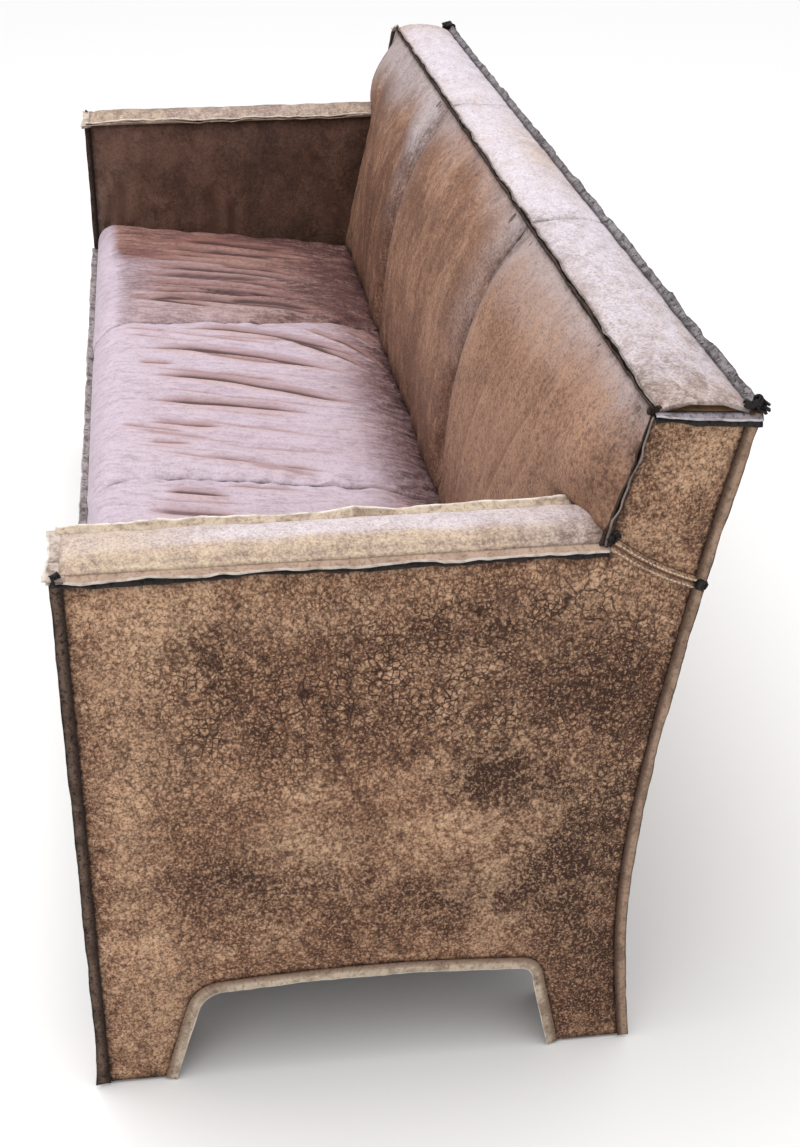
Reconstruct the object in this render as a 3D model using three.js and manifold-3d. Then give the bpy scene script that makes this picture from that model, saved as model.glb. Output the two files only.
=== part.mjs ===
// A three-seat leather sofa with slab ends on arched feet, a raked back and seams whose raw edges
// stand outside. Lengths are millimetres. +X runs along the sofa to the sitter's left, -Y is the
// front and +Z is up. The origin is on the floor, under the middle of the whole sofa.
import * as THREE from 'three';
import { mergeVertices } from 'three/addons/utils/BufferGeometryUtils.js';
import Module from 'manifold-3d';

// Overall sizes, over the leather
const END_X = 1017;                 // middle of the sofa to the outer face of an end
const ARM_THICKNESS = 97;
const ARM_TOP_Z = 698;
const FRONT_Y = -366;
const SEAM_X = 338;                 // the two cross seams of the seat, back, top, rear and apron
const BASE_Z = 150;                 // lower edge of the apron and of the rear panels
const RAW_EDGE = 13;                // how far the raw edges of a seam stand out
const RAW_FRONT_Y = FRONT_Y - RAW_EDGE;
const RAW_REAR_Y = -RAW_FRONT_Y;
const RAW_END_X = END_X + RAW_EDGE;

// Seat and back faces
const CREASE = { y: 145.5, z: 437.7 };   // where the seat meets the back
const BACK_SLOPE = 0.285;                // rearward run for each unit of height, at the back's ends
const BACK_RISE = 414;                   // height of the back's front face above the crease
const BACK_LEAN = { steady: 20, rising: 98 };   // rearward run over that height, between the ends
const BACK_FLAT_X = 600;                 // the back keeps its full curve out to here
const SEAT_SLOPE = 0.125;                // rise towards the front for each unit of depth
const SEAT_ROLL_RADIUS = 34;
const SEAT_SEAM_Z = 441;                 // the seat's front seam, under the roll
const BACK_TOP_Z = 853;
const CAP_LIP = 5;                       // thickness of the raw edges that stand up along its front
const CAP_FALL = 5;                      // how much lower the top's rear edge is

// The rear outline of an end: a foot that sweeps in, then a back that leans out
const WAIST = { y: 256, z: 220 };
const HEEL_SWEEP = 13;
const REAR_LEAN = 109;
const REAR_LEAN_POWER = 1.42;
const REAR_TOP_Z = 845;
const REAR_STATION = 55;            // height between the corners of the outline
const REAR_SKIN_TOP_Z = REAR_TOP_Z - 6;

// The arch between the feet of an end: a straight inner edge up each foot, then three curves [y, z]
const KNEE_Z = 104;                 // where a foot's inner edge bends into the arch
const ARCH = {
  frontKneeY: -264,
  frontCorner: [-254, 139],
  frontTop: [-222, 140.5],
  crown: [-40, 154],
  rearTop: [140, 137],
  rearCorner: [164, 135],
  rearKneeY: 166,
  frontToeSpread: 31,               // how much further forward the front toe is than the knee
  rearToeSpread: 21,
};
const ARCH_STEPS = 7;               // straight stretches in each curve
const FOOT_LINING_TOP_Z = 126;
const FELLED_SEAM = { frontY: 221, rearZ: 640 };   // where a side panel meets a wing
const TOE_INSET = 8;                // how far the raw front edge is worn back at the toe

// Leather, timber, foam and clearances
const LEATHER = 3;
const GAP = 0.3;                    // between pieces that touch
const SKIN = LEATHER + GAP;
const SOLE_Z = 4;                   // lower edge of the leather on the feet
const POST_BOTTOM_Z = 6;
const PLY = 9;
const BOARD = 18;
const DECK_Z = 375.7;               // top of the seat deck
const DECK_THICKNESS = 12;
const BASE_LIFT = 3;                // the boards stop this far above the leather's lower edge
const REAR_BOARD_THICKNESS = 22;
const STRETCHER = { width: 24, depth: 75 };
const DUST_COVER = { lift: 1.5, thickness: 1 };
const LOWER_RAIL = { y: [214, 258], z: [385, 445] };
const KNEE_BEVEL = 4;               // the rail over the arch starts this far above the knees
const ARM_PAD_BOTTOM_Z = 670;
const ARM_PAD_TOP_Z = 694.4;
const ARM_CROWN = 5;
const ARM_RAIL_DEPTH = 70;
const ARM_REAR_Y = 205;
const SIDE_RAIL_TOP_Z = 220;
const BACK_FOAM_DEPTH = 46;
const TOP_RAIL_BOTTOM_Z = 822;
const GLIDE = {
  radius: 20,
  flatRadius: 16,
  bevelRadius: 19,
  bevelZ: 1.5,
  height: 5.7,
  frontY: -331,
  rearY: 228,
};

const COLOURS = {
  leather: { color: '#8a6a4f', roughness: 0.55, metalness: 0 },
  seatLeather: { color: '#8d6f6c', roughness: 0.45, metalness: 0 },
  timber: { color: '#c39a66', roughness: 0.75, metalness: 0 },
  plywood: { color: '#cfae7c', roughness: 0.8, metalness: 0 },
  foam: { color: '#e6dcb0', roughness: 0.95, metalness: 0 },
  lining: { color: '#222224', roughness: 0.95, metalness: 0 },
  glide: { color: '#2b2a29', roughness: 0.5, metalness: 0 },
};

const INNER_X = END_X - ARM_THICKNESS;
const TIMBER_INNER_X = INNER_X + SKIN;
const TIMBER_OUTER_X = END_X - SKIN;
const TIMBER_FRONT_Y = FRONT_Y + SKIN;
const SPAN_X = TIMBER_INNER_X - GAP;    // half length of what fits between the two ends' timber
const LINED_X = INNER_X - GAP;          // half length of what fits between the inner arm leathers
const SIDES = [['left', 1], ['right', -1]];
const THIRDS = [
  ['right', -1, -SEAM_X - GAP / 2],
  ['middle', -SEAM_X + GAP / 2, SEAM_X - GAP / 2],
  ['left', SEAM_X + GAP / 2, 1],
];

const wasm = await Module();
wasm.setup();

// Rearward position of the back's front face at a height.
const backY = (z) => CREASE.y + (z - CREASE.z) * BACK_SLOPE;

// Depth of the back's front face. Between the ends it stands forward of the straight slope, because
// it leans back mostly near the top. It eases into that slope at the arms and at the wings' edges.
function faceY(x, z) {
  const up = THREE.MathUtils.clamp((z - CREASE.z) / BACK_RISE, 0, 1);
  const forward = backY(z) - (CREASE.y + BACK_LEAN.steady * up + BACK_LEAN.rising * up ** 3);
  const endX = INNER_X + ARM_THICKNESS * THREE.MathUtils.smoothstep(z, ARM_TOP_Z - 60, ARM_TOP_Z + 80);
  const outward = THREE.MathUtils.clamp((Math.abs(x) - BACK_FLAT_X) / (endX - BACK_FLAT_X), 0, 1);
  return backY(z) - (z > CREASE.z ? Math.max(0, forward) * (1 - outward ** 2) : 0);
}

// Height of the seat's upper face at a depth.
const seatZ = (y) => CREASE.z + (CREASE.y - y) * SEAT_SLOPE;

// The smooth curve of the rear outline at a height.
function rearCurve(z) {
  if (z < WAIST.z) {
    return WAIST.y + HEEL_SWEEP * ((WAIST.z - z) / WAIST.z) ** 2;
  }
  return WAIST.y + REAR_LEAN * ((z - WAIST.z) / (REAR_TOP_Z - WAIST.z)) ** REAR_LEAN_POWER;
}

// The rear outline as every piece follows it: straight between stations a fixed height apart.
function rearY(z) {
  const low = Math.floor(z / REAR_STATION) * REAR_STATION;
  const high = low + REAR_STATION;
  return THREE.MathUtils.mapLinear(z, low, high, rearCurve(low), rearCurve(high));
}

// Points [y, z] along the rear outline, moved rearward by an offset.
function rearPoints(fromZ, toZ, offset) {
  const heights = [fromZ];
  for (let z = Math.floor(fromZ / REAR_STATION + 1) * REAR_STATION; z < toZ; z += REAR_STATION) {
    heights.push(z);
  }
  heights.push(toZ);
  return heights.map((z) => [rearY(z) + offset, z]);
}

// Points [y, z] along the arch between the feet, front to rear, grown into the timber by an amount.
function archPoints(grow, bottomZ = SOLE_Z) {
  const { frontCorner, frontTop, crown, rearTop, rearCorner } = ARCH;
  const frontKneeY = ARCH.frontKneeY - grow;
  const rearKneeY = ARCH.rearKneeY + grow;
  const arch = new THREE.Path();
  arch.moveTo(frontKneeY, KNEE_Z);
  arch.quadraticCurveTo(frontCorner[0] - grow, frontCorner[1] + grow, frontTop[0], frontTop[1] + grow);
  arch.quadraticCurveTo(crown[0], crown[1] + grow, rearTop[0], rearTop[1] + grow);
  arch.quadraticCurveTo(rearCorner[0] + grow, rearCorner[1] + grow, rearKneeY, KNEE_Z);
  const toFoot = (KNEE_Z - bottomZ) / KNEE_Z;
  return [
    [frontKneeY - ARCH.frontToeSpread * toFoot, bottomZ],
    ...arch.getPoints(ARCH_STEPS).map((p) => [p.x, p.y]),
    [rearKneeY + ARCH.rearToeSpread * toFoot, bottomZ],
  ];
}

const shapeOf = (points) => new THREE.Shape(points.map(([a, b]) => new THREE.Vector2(a, b)));

// An outline in Y and Z, carried along X.
function alongX(points, x0, x1) {
  const geometry = new THREE.ExtrudeGeometry(shapeOf(points), { depth: x1 - x0, bevelEnabled: false });
  const turn = new THREE.Matrix4().makeBasis(
    new THREE.Vector3(0, 1, 0),
    new THREE.Vector3(0, 0, 1),
    new THREE.Vector3(1, 0, 0),
  );
  return geometry.applyMatrix4(turn).translate(x0, 0, 0);
}

// An outline in X and Z, carried along Y.
function alongY(points, y0, y1) {
  const geometry = new THREE.ExtrudeGeometry(shapeOf(points), { depth: y1 - y0, bevelEnabled: false });
  return geometry.rotateX(Math.PI / 2).translate(0, y1, 0);
}

// The same pair of X limits on the left or on the right of the sofa.
const sideSpan = (side, inner, outer) => (side > 0 ? [inner, outer] : [-outer, -inner]);

function box(x, y, z) {
  const geometry = new THREE.BoxGeometry(x[1] - x[0], y[1] - y[0], z[1] - z[0]);
  return geometry.translate((x[0] + x[1]) / 2, (y[0] + y[1]) / 2, (z[0] + z[1]) / 2);
}

function toSolid(geometry) {
  const bare = geometry.clone();
  bare.deleteAttribute('normal');
  bare.deleteAttribute('uv');
  const merged = mergeVertices(bare, 1e-3);
  return new wasm.Manifold(new wasm.Mesh({
    numProp: 3,
    vertProperties: new Float32Array(merged.attributes.position.array),
    triVerts: new Uint32Array(merged.index.array),
  }));
}

function toGeometry(solid) {
  const mesh = solid.getMesh();
  const geometry = new THREE.BufferGeometry();
  geometry.setAttribute('position', new THREE.BufferAttribute(mesh.vertProperties, 3));
  geometry.setIndex(new THREE.BufferAttribute(mesh.triVerts, 1));
  geometry.computeVertexNormals();
  return geometry;
}

// One body from several that share volume.
const joined = (geometries) => toGeometry(geometries.map(toSolid).reduce((sum, next) => sum.add(next)));

// A body without what several others cover.
function cut(geometry, cutters) {
  return toGeometry(cutters.map(toSolid).reduce((rest, next) => rest.subtract(next), toSolid(geometry)));
}

// A closed sheet between a near and a far face, each a depth over the same grid of X and Z.
function sheetBetween(xs, zs, nearY, farY) {
  const positions = [];
  for (const depth of [nearY, farY]) {
    for (const z of zs) {
      xs.forEach((x) => positions.push(x, depth(x, z), z));
    }
  }
  const right = xs.length - 1;
  const top = zs.length - 1;
  const at = (layer, i, j) => (layer * zs.length + j) * xs.length + i;
  const index = [];
  const quad = (a, b, c, d) => index.push(a, b, c, a, c, d);
  for (let i = 0; i < right; i += 1) {
    for (let j = 0; j < top; j += 1) {
      quad(at(0, i, j), at(0, i + 1, j), at(0, i + 1, j + 1), at(0, i, j + 1));
      quad(at(1, i, j), at(1, i, j + 1), at(1, i + 1, j + 1), at(1, i + 1, j));
    }
    quad(at(1, i, 0), at(1, i + 1, 0), at(0, i + 1, 0), at(0, i, 0));
    quad(at(0, i, top), at(0, i + 1, top), at(1, i + 1, top), at(1, i, top));
  }
  for (let j = 0; j < top; j += 1) {
    quad(at(1, 0, j), at(0, 0, j), at(0, 0, j + 1), at(1, 0, j + 1));
    quad(at(0, right, j), at(1, right, j), at(1, right, j + 1), at(0, right, j + 1));
  }
  const geometry = new THREE.BufferGeometry();
  geometry.setAttribute('position', new THREE.BufferAttribute(new Float32Array(positions), 3));
  geometry.setIndex(index);
  geometry.computeVertexNormals();
  return geometry;
}

const sofa = new THREE.Group();

function place(name, geometry, colour) {
  const mesh = new THREE.Mesh(geometry, new THREE.MeshStandardMaterial(COLOURS[colour]));
  mesh.name = name;
  sofa.add(mesh);
  return mesh;
}

// Timber of one end: two posts that reach down as feet, a rail over the arch, a rail under the arm
// and a plywood sheet inside and outside.
function addEndTimber(label, side) {
  const span = sideSpan(side, TIMBER_INNER_X, TIMBER_OUTER_X);
  const arch = archPoints(SKIN, POST_BOTTOM_Z);
  const [frontToe, frontKnee] = arch;
  const rearKnee = arch.at(-2);
  const rearToe = arch.at(-1);
  const postTop = ARM_PAD_BOTTOM_Z - GAP;

  const frontPost = [
    [TIMBER_FRONT_Y, POST_BOTTOM_Z],
    frontToe,
    frontKnee,
    [frontKnee[0], postTop],
    [TIMBER_FRONT_Y, postTop],
  ];
  place(`front_post_${label}`, alongX(frontPost, ...span), 'timber');

  const foamRear = (z) => backY(z) + BACK_FOAM_DEPTH + SKIN + 2 * GAP;
  const postHead = TOP_RAIL_BOTTOM_Z - GAP;
  const rearPost = [
    rearToe,
    ...rearPoints(POST_BOTTOM_Z, postHead, -SKIN),
    [foamRear(postHead), postHead],
    [foamRear(postTop), postTop],
    [rearKnee[0], postTop],
    rearKnee,
  ];
  place(`rear_post_${label}`, alongX(rearPost, ...span), 'timber');

  const railFront = frontKnee[0] + GAP;
  const railRear = rearKnee[0] - GAP;
  const archTop = arch.slice(2, -2);
  const sideRail = [
    [railFront, frontKnee[1] + KNEE_BEVEL],
    ...archTop,
    [railRear, rearKnee[1] + KNEE_BEVEL],
    [railRear, SIDE_RAIL_TOP_Z],
    [railFront, SIDE_RAIL_TOP_Z],
  ];
  place(`side_rail_${label}`, alongX(sideRail, ...span), 'timber');

  const armRail = [postTop - ARM_RAIL_DEPTH, postTop];
  place(`arm_rail_${label}`, box(span, [railFront, railRear], armRail), 'timber');

  const infillZ = [SIDE_RAIL_TOP_Z + GAP, armRail[0] - GAP];
  const inner = sideSpan(side, TIMBER_INNER_X, TIMBER_INNER_X + PLY);
  const outer = sideSpan(side, TIMBER_OUTER_X - PLY, TIMBER_OUTER_X);
  place(`inner_side_ply_${label}`, box(inner, [railFront, railRear], infillZ), 'plywood');
  place(`outer_side_ply_${label}`, box(outer, [railFront, railRear], infillZ), 'plywood');
}

// A band across the arm whose middle is raised, as [x, z] points, for the left end.
function crownedBand(x0, x1, topZ, thickness, steps = 8) {
  const upper = [];
  const lower = [];
  for (let i = 0; i <= steps; i += 1) {
    const x = x0 + (x1 - x0) * i / steps;
    const across = (x - (INNER_X + END_X) / 2) / (ARM_THICKNESS / 2);
    const crown = ARM_CROWN * Math.max(0, 1 - across ** 2);
    upper.push([x, topZ + crown]);
    lower.push([x, thickness > 0 ? topZ + crown - thickness : ARM_PAD_BOTTOM_Z]);
  }
  return [...lower, ...upper.reverse()];
}

const mirrored = (points, side) => (side > 0 ? points : points.map(([x, z]) => [-x, z]).reverse());

function addArmPad(label, side) {
  const pad = crownedBand(TIMBER_INNER_X, TIMBER_OUTER_X, ARM_PAD_TOP_Z, 0);
  const geometry = alongY(mirrored(pad, side), TIMBER_FRONT_Y, ARM_REAR_Y - 1);
  place(`arm_pad_${label}`, geometry, 'foam');
}

// Leather of one end. The side panel and the arm top keep their raw edges.
function addEndLeather(label, side) {
  const skin = sideSpan(side, END_X - LEATHER, END_X);
  const edges = sideSpan(side, INNER_X, END_X - SKIN);
  const armEdgeZ = ARM_TOP_Z - LEATHER;
  const seamFront = [FELLED_SEAM.frontY, armEdgeZ - GAP];

  const sidePanel = [
    [RAW_FRONT_Y + TOE_INSET, SOLE_Z],
    ...archPoints(0),
    ...rearPoints(SOLE_Z, FELLED_SEAM.rearZ, RAW_EDGE),
    seamFront,
    [RAW_FRONT_Y, armEdgeZ - GAP],
    [RAW_FRONT_Y, KNEE_Z],
  ];
  place(`outer_side_panel_${label}`, alongX(sidePanel, ...skin), 'leather');

  const wing = [
    [seamFront[0] + 1, seamFront[1] + 1],
    ...rearPoints(FELLED_SEAM.rearZ + 1, REAR_SKIN_TOP_Z, RAW_EDGE),
    [backY(REAR_TOP_Z), REAR_TOP_Z - 1],
  ];
  place(`wing_panel_${label}`, alongX(wing, ...skin), 'leather');

  const armTop = crownedBand(INNER_X - RAW_EDGE - 2, RAW_END_X, ARM_TOP_Z, LEATHER, 16);
  place(`arm_top_panel_${label}`, alongY(mirrored(armTop, side), RAW_FRONT_Y, ARM_REAR_Y), 'seatLeather');

  const insideX = sideSpan(side, INNER_X, INNER_X + LEATHER);
  const bottomZ = DECK_Z + 2 * GAP;
  const innerArm = [
    [TIMBER_FRONT_Y, bottomZ], [backY(bottomZ), bottomZ],
    [backY(armEdgeZ) - 4, armEdgeZ - GAP], [TIMBER_FRONT_Y, armEdgeZ - GAP],
  ];
  place(`inner_arm_panel_${label}`, alongX(innerArm, ...insideX), 'leather');

  const frontFace = box(edges, [FRONT_Y, FRONT_Y + LEATHER], [SOLE_Z, armEdgeZ - GAP]);
  place(`arm_front_panel_${label}`, frontFace, 'leather');

  const rearFace = [
    ...rearPoints(SOLE_Z, REAR_SKIN_TOP_Z, 0),
    ...rearPoints(SOLE_Z, REAR_SKIN_TOP_Z, -LEATHER).reverse(),
  ];
  place(`end_rear_panel_${label}`, alongX(rearFace, ...edges), 'leather');
  place(`arch_facing_${label}`, archFacing(side), 'leather');
}

// The leather under the arch, with the two flaps that line the inner faces of the feet.
function archFacing(side) {
  const under = archPoints(0);
  const strip = [...under, ...archPoints(LEATHER).reverse()];
  const stripX = sideSpan(side, INNER_X, END_X - SKIN);
  const flapX = sideSpan(side, INNER_X, INNER_X + LEATHER);
  const inset = LEATHER / 2;
  const knee = archPoints(inset);
  const half = knee.length / 2;
  const frontBend = knee.filter(([, z], i) => i < half && z < FOOT_LINING_TOP_Z);
  const rearBend = knee.filter(([, z], i) => i >= half && z < FOOT_LINING_TOP_Z);
  const frontFlap = [
    [TIMBER_FRONT_Y, SOLE_Z],
    ...frontBend,
    [frontBend.at(-1)[0], FOOT_LINING_TOP_Z],
    [TIMBER_FRONT_Y, FOOT_LINING_TOP_Z],
  ];
  const rearFlap = [
    rearBend.at(-1), ...rearPoints(SOLE_Z, FOOT_LINING_TOP_Z, -SKIN), [rearBend[0][0], FOOT_LINING_TOP_Z],
    ...rearBend.slice(0, -1),
  ];
  return joined([
    alongX(strip, ...stripX),
    alongX(frontFlap, ...flapX),
    alongX(rearFlap, ...flapX),
  ]);
}

// Boards between the ends that carry the seat, and the deck on them.
function addBase() {
  const x = [-SPAN_X, SPAN_X];
  const bottomZ = BASE_Z + BASE_LIFT;
  const frontBoardY = [TIMBER_FRONT_Y, TIMBER_FRONT_Y + BOARD];
  const rearBoardFace = WAIST.y - SKIN - 2;
  const rearBoardY = [rearBoardFace - REAR_BOARD_THICKNESS, rearBoardFace];
  const deckBottom = DECK_Z - DECK_THICKNESS;
  place('front_board', box(x, frontBoardY, [bottomZ, DECK_Z]), 'timber');
  place('rear_board', box(x, rearBoardY, [bottomZ, deckBottom - GAP]), 'timber');

  const between = [frontBoardY[1] + GAP, rearBoardY[0] - GAP];
  for (const [label, side] of SIDES) {
    const centre = side * SEAM_X;
    const stretcherX = [centre - STRETCHER.width / 2, centre + STRETCHER.width / 2];
    const stretcherZ = [deckBottom - STRETCHER.depth, deckBottom - GAP];
    place(`seat_stretcher_${label}`, box(stretcherX, between, stretcherZ), 'timber');
  }
  place('seat_deck', box(x, [between[0], rearBoardY[1]], [deckBottom, DECK_Z]), 'plywood');
  const coverZ = BASE_Z + DUST_COVER.lift;
  const coverY = [TIMBER_FRONT_Y, rearBoardY[1]];
  const cover = box([-LINED_X, LINED_X], coverY, [coverZ, coverZ + DUST_COVER.thickness]);
  place('dust_cover', cover, 'lining');
}

// Points [y, z] over the seat: up the front, round the roll and back to the crease, sunk by a depth.
function seatPoints(fromZ, sink, endY, steps = 7) {
  const tilt = Math.atan(SEAT_SLOPE);
  const centreY = FRONT_Y + SEAT_ROLL_RADIUS;
  const centreZ = seatZ(centreY) - SEAT_ROLL_RADIUS / Math.cos(tilt);
  const radius = SEAT_ROLL_RADIUS - sink;
  const points = [[FRONT_Y + sink, fromZ]];
  for (let i = 0; i <= steps; i += 1) {
    const angle = Math.PI + (tilt - Math.PI / 2) * i / steps;
    points.push([centreY + radius * Math.cos(angle), centreZ + radius * Math.sin(angle)]);
  }
  points.push([endY, seatZ(endY) - sink / Math.cos(tilt)]);
  return points;
}

function addSeat() {
  const foamBottom = DECK_Z + GAP;
  const foam = [...seatPoints(foamBottom, SKIN, backY(CREASE.z) - 2), [backY(foamBottom) - 1, foamBottom]];
  place('seat_foam', alongX(foam.reverse(), -LINED_X, LINED_X), 'foam');

  const skin = [
    ...seatPoints(SEAT_SEAM_Z, LEATHER, CREASE.y - 2),
    ...seatPoints(SEAT_SEAM_Z, 0, CREASE.y - 2).reverse(),
  ];
  const apronZ = [BASE_Z, SEAT_SEAM_Z - GAP];
  for (const [label, from, to] of THIRDS) {
    const x0 = label === 'right' ? from * LINED_X : from;
    const x1 = label === 'left' ? to * LINED_X : to;
    place(`seat_panel_${label}`, alongX(skin, x0, x1), 'seatLeather');
    place(`apron_panel_${label}`, box([x0, x1], [FRONT_Y, FRONT_Y + LEATHER], apronZ), 'leather');
  }
}

// A slab that follows the back's front face between two depths, from one height to another.
function backSlab(x, fromZ, toZ, nearY, farY) {
  const outline = [
    [backY(fromZ) + nearY, fromZ], [backY(fromZ) + farY, fromZ],
    [backY(toZ) + farY, toZ], [backY(toZ) + nearY, toZ],
  ];
  return alongX(outline, x[0], x[1]);
}

// Evenly spaced numbers from one to another, both included.
function spaced(from, to, steps) {
  return Array.from({ length: steps + 1 }, (_, i) => from + (to - from) * i / steps);
}

// What the back's soft layers leave free for an arm, from below the deck to just over the arm top.
function armSpace(side) {
  return box(sideSpan(side, LINED_X, END_X + 50), [0, 400], [0, ARM_TOP_Z + ARM_CROWN + 1]);
}

// Stations across the back that the foam and the leather share, so that their faces stay parallel.
const BACK_ZS = spaced(CREASE.z + 4, TOP_RAIL_BOTTOM_Z - GAP, 10);
const BACK_END_XS = spaced(SEAM_X + 43, TIMBER_OUTER_X, 12);

// The front leather of the back. Over the arms it widens to the wings.
function backPanel(label, x0, x1) {
  const zs = [...BACK_ZS, REAR_TOP_Z - 2];
  const across = {
    right: [...BACK_END_XS.map((x) => -x).reverse(), x1],
    middle: [x0, x1],
    left: [x0, ...BACK_END_XS],
  };
  const sheet = sheetBetween(across[label], zs, faceY, (x, z) => faceY(x, z) + LEATHER);
  const cutters = { right: [armSpace(-1)], middle: [], left: [armSpace(1)] };
  return cut(sheet, cutters[label]);
}

function addBack() {
  const foamFront = SKIN + GAP;
  const foamRear = foamFront + BACK_FOAM_DEPTH;
  const headZ = TOP_RAIL_BOTTOM_Z - GAP;
  const wings = [-TIMBER_OUTER_X, TIMBER_OUTER_X];
  const acrossFoam = [...BACK_END_XS.map((x) => -x).reverse(), -SEAM_X, SEAM_X, ...BACK_END_XS];
  const foam = sheetBetween(
    acrossFoam,
    [DECK_Z + GAP, ...BACK_ZS],
    (x, z) => faceY(x, z) + foamFront,
    (x, z) => backY(z) + foamRear,
  );
  place('back_foam', cut(foam, SIDES.map(([, side]) => armSpace(side))), 'foam');

  const span = [-SPAN_X, SPAN_X];
  place('back_ply', backSlab(span, DECK_Z + GAP, headZ, foamRear + GAP, foamRear + GAP + PLY), 'plywood');
  place('back_lower_rail', box(span, LOWER_RAIL.y, LOWER_RAIL.z), 'timber');

  const topRail = [
    [backY(TOP_RAIL_BOTTOM_Z) + foamFront, TOP_RAIL_BOTTOM_Z],
    ...rearPoints(TOP_RAIL_BOTTOM_Z, REAR_TOP_Z - 5, -SKIN),
    [backY(REAR_TOP_Z) + foamFront, REAR_TOP_Z - 0.8],
  ];
  place('back_top_rail', alongX(topRail, ...wings), 'timber');

  const rearSkin = [
    ...rearPoints(BASE_Z, REAR_SKIN_TOP_Z, 0),
    ...rearPoints(BASE_Z, REAR_SKIN_TOP_Z, -LEATHER).reverse(),
  ];
  const capRear = REAR_TOP_Z - CAP_FALL;
  const raised = [backY(REAR_TOP_Z) - CAP_LIP / 2, backY(REAR_TOP_Z) + CAP_LIP / 2];
  const cap = [
    [raised[0], REAR_TOP_Z],
    [RAW_REAR_Y, capRear],
    [RAW_REAR_Y, capRear + LEATHER],
    [raised[1], REAR_TOP_Z + LEATHER],
    [raised[1], BACK_TOP_Z],
    [raised[0], BACK_TOP_Z],
  ];
  for (const [label, from, to] of THIRDS) {
    const x0 = label === 'right' ? from * LINED_X : from;
    const x1 = label === 'left' ? to * LINED_X : to;
    place(`back_panel_${label}`, backPanel(label, x0, x1), 'leather');
    place(`rear_panel_${label}`, alongX(rearSkin, x0, x1), 'leather');
    const capX0 = label === 'right' ? -RAW_END_X : x0;
    const capX1 = label === 'left' ? RAW_END_X : x1;
    place(`back_top_panel_${label}`, alongX(cap, capX0, capX1), 'seatLeather');
  }
}

// A domed nail-on glide under each foot, turned about its own axis.
function addGlides() {
  const { radius, flatRadius, bevelRadius, bevelZ, height } = GLIDE;
  const profile = [[0, 0], [flatRadius, 0], [bevelRadius, bevelZ], [radius, height], [0, height]];
  const points = profile.map(([r, z]) => new THREE.Vector2(r, z));
  const middleX = (TIMBER_INNER_X + TIMBER_OUTER_X) / 2;
  for (const [label, side] of SIDES) {
    for (const [row, y] of [['front', GLIDE.frontY], ['rear', GLIDE.rearY]]) {
      const turned = new THREE.LatheGeometry(points, 24).rotateX(Math.PI / 2);
      const glide = place(`glide_${row}_${label}`, turned, 'glide');
      glide.position.set(side * middleX, y, 0);
    }
  }
}

for (const [label, side] of SIDES) {
  addEndTimber(label, side);
  addArmPad(label, side);
  addEndLeather(label, side);
}
addBase();
addSeat();
addBack();
addGlides();

export default sofa;
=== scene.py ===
# A worn leather sofa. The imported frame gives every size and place, and this script makes the leather
# over it: puffed and creased panels, seams whose raw edges stand outside, and the finish of each
# material. Lengths are metres. +X runs along the sofa to the sitter's left, -Y is the front, +Z is up.
import math
import bpy
import numpy as np
from mathutils import Matrix, Vector
from mathutils.geometry import delaunay_2d_cdt


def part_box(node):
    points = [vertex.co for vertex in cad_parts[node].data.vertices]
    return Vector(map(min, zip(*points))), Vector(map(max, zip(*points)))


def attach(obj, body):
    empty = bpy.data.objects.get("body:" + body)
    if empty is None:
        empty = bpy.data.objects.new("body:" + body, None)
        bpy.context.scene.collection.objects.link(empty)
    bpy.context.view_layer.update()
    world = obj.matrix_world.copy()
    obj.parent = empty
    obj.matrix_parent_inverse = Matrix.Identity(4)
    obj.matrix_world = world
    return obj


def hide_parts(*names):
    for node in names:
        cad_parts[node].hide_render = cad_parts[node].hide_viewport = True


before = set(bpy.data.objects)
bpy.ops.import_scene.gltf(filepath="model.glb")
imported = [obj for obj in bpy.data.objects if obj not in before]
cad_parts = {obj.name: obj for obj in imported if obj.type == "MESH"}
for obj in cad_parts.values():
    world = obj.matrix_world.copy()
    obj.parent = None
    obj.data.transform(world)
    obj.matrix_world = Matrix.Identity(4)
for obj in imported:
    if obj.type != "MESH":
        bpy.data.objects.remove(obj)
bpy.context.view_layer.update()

# ---------------------------------------------------------------- sizes, from the frame

FRONT_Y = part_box("arm_front_panel_left")[0].y
INNER_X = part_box("arm_front_panel_left")[0].x
SOLE_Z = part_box("arm_front_panel_left")[0].z
ARM_EDGE_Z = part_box("arm_front_panel_left")[1].z
ARM_SEAM_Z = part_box("arm_top_panel_left")[0].z + 0.003
ARM_REAR_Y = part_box("arm_top_panel_left")[1].y
END_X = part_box("outer_side_panel_left")[1].x
SEAM_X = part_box("seat_panel_left")[0].x
SEAT_REAR_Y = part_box("seat_panel_left")[1].y
SEAT_SEAM_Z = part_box("apron_panel_left")[1].z
SEAT_REAR_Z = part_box("seat_panel_left")[0].z + 0.003
BASE_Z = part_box("apron_panel_left")[0].z
CREASE_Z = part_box("back_panel_middle")[0].z
CAP_FRONT_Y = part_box("back_top_panel_left")[0].y
CAP_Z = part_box("back_top_panel_left")[0].z + 0.006
CAP_TOP_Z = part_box("back_top_panel_left")[1].z
REAR_TOP_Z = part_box("end_rear_panel_left")[1].z
FELLED = {
    "front": (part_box("wing_panel_left")[0].y, ARM_EDGE_Z),
    "rear_z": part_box("wing_panel_left")[0].z,
}

# ---------------------------------------------------------------- sizes of the leatherwork

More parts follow.
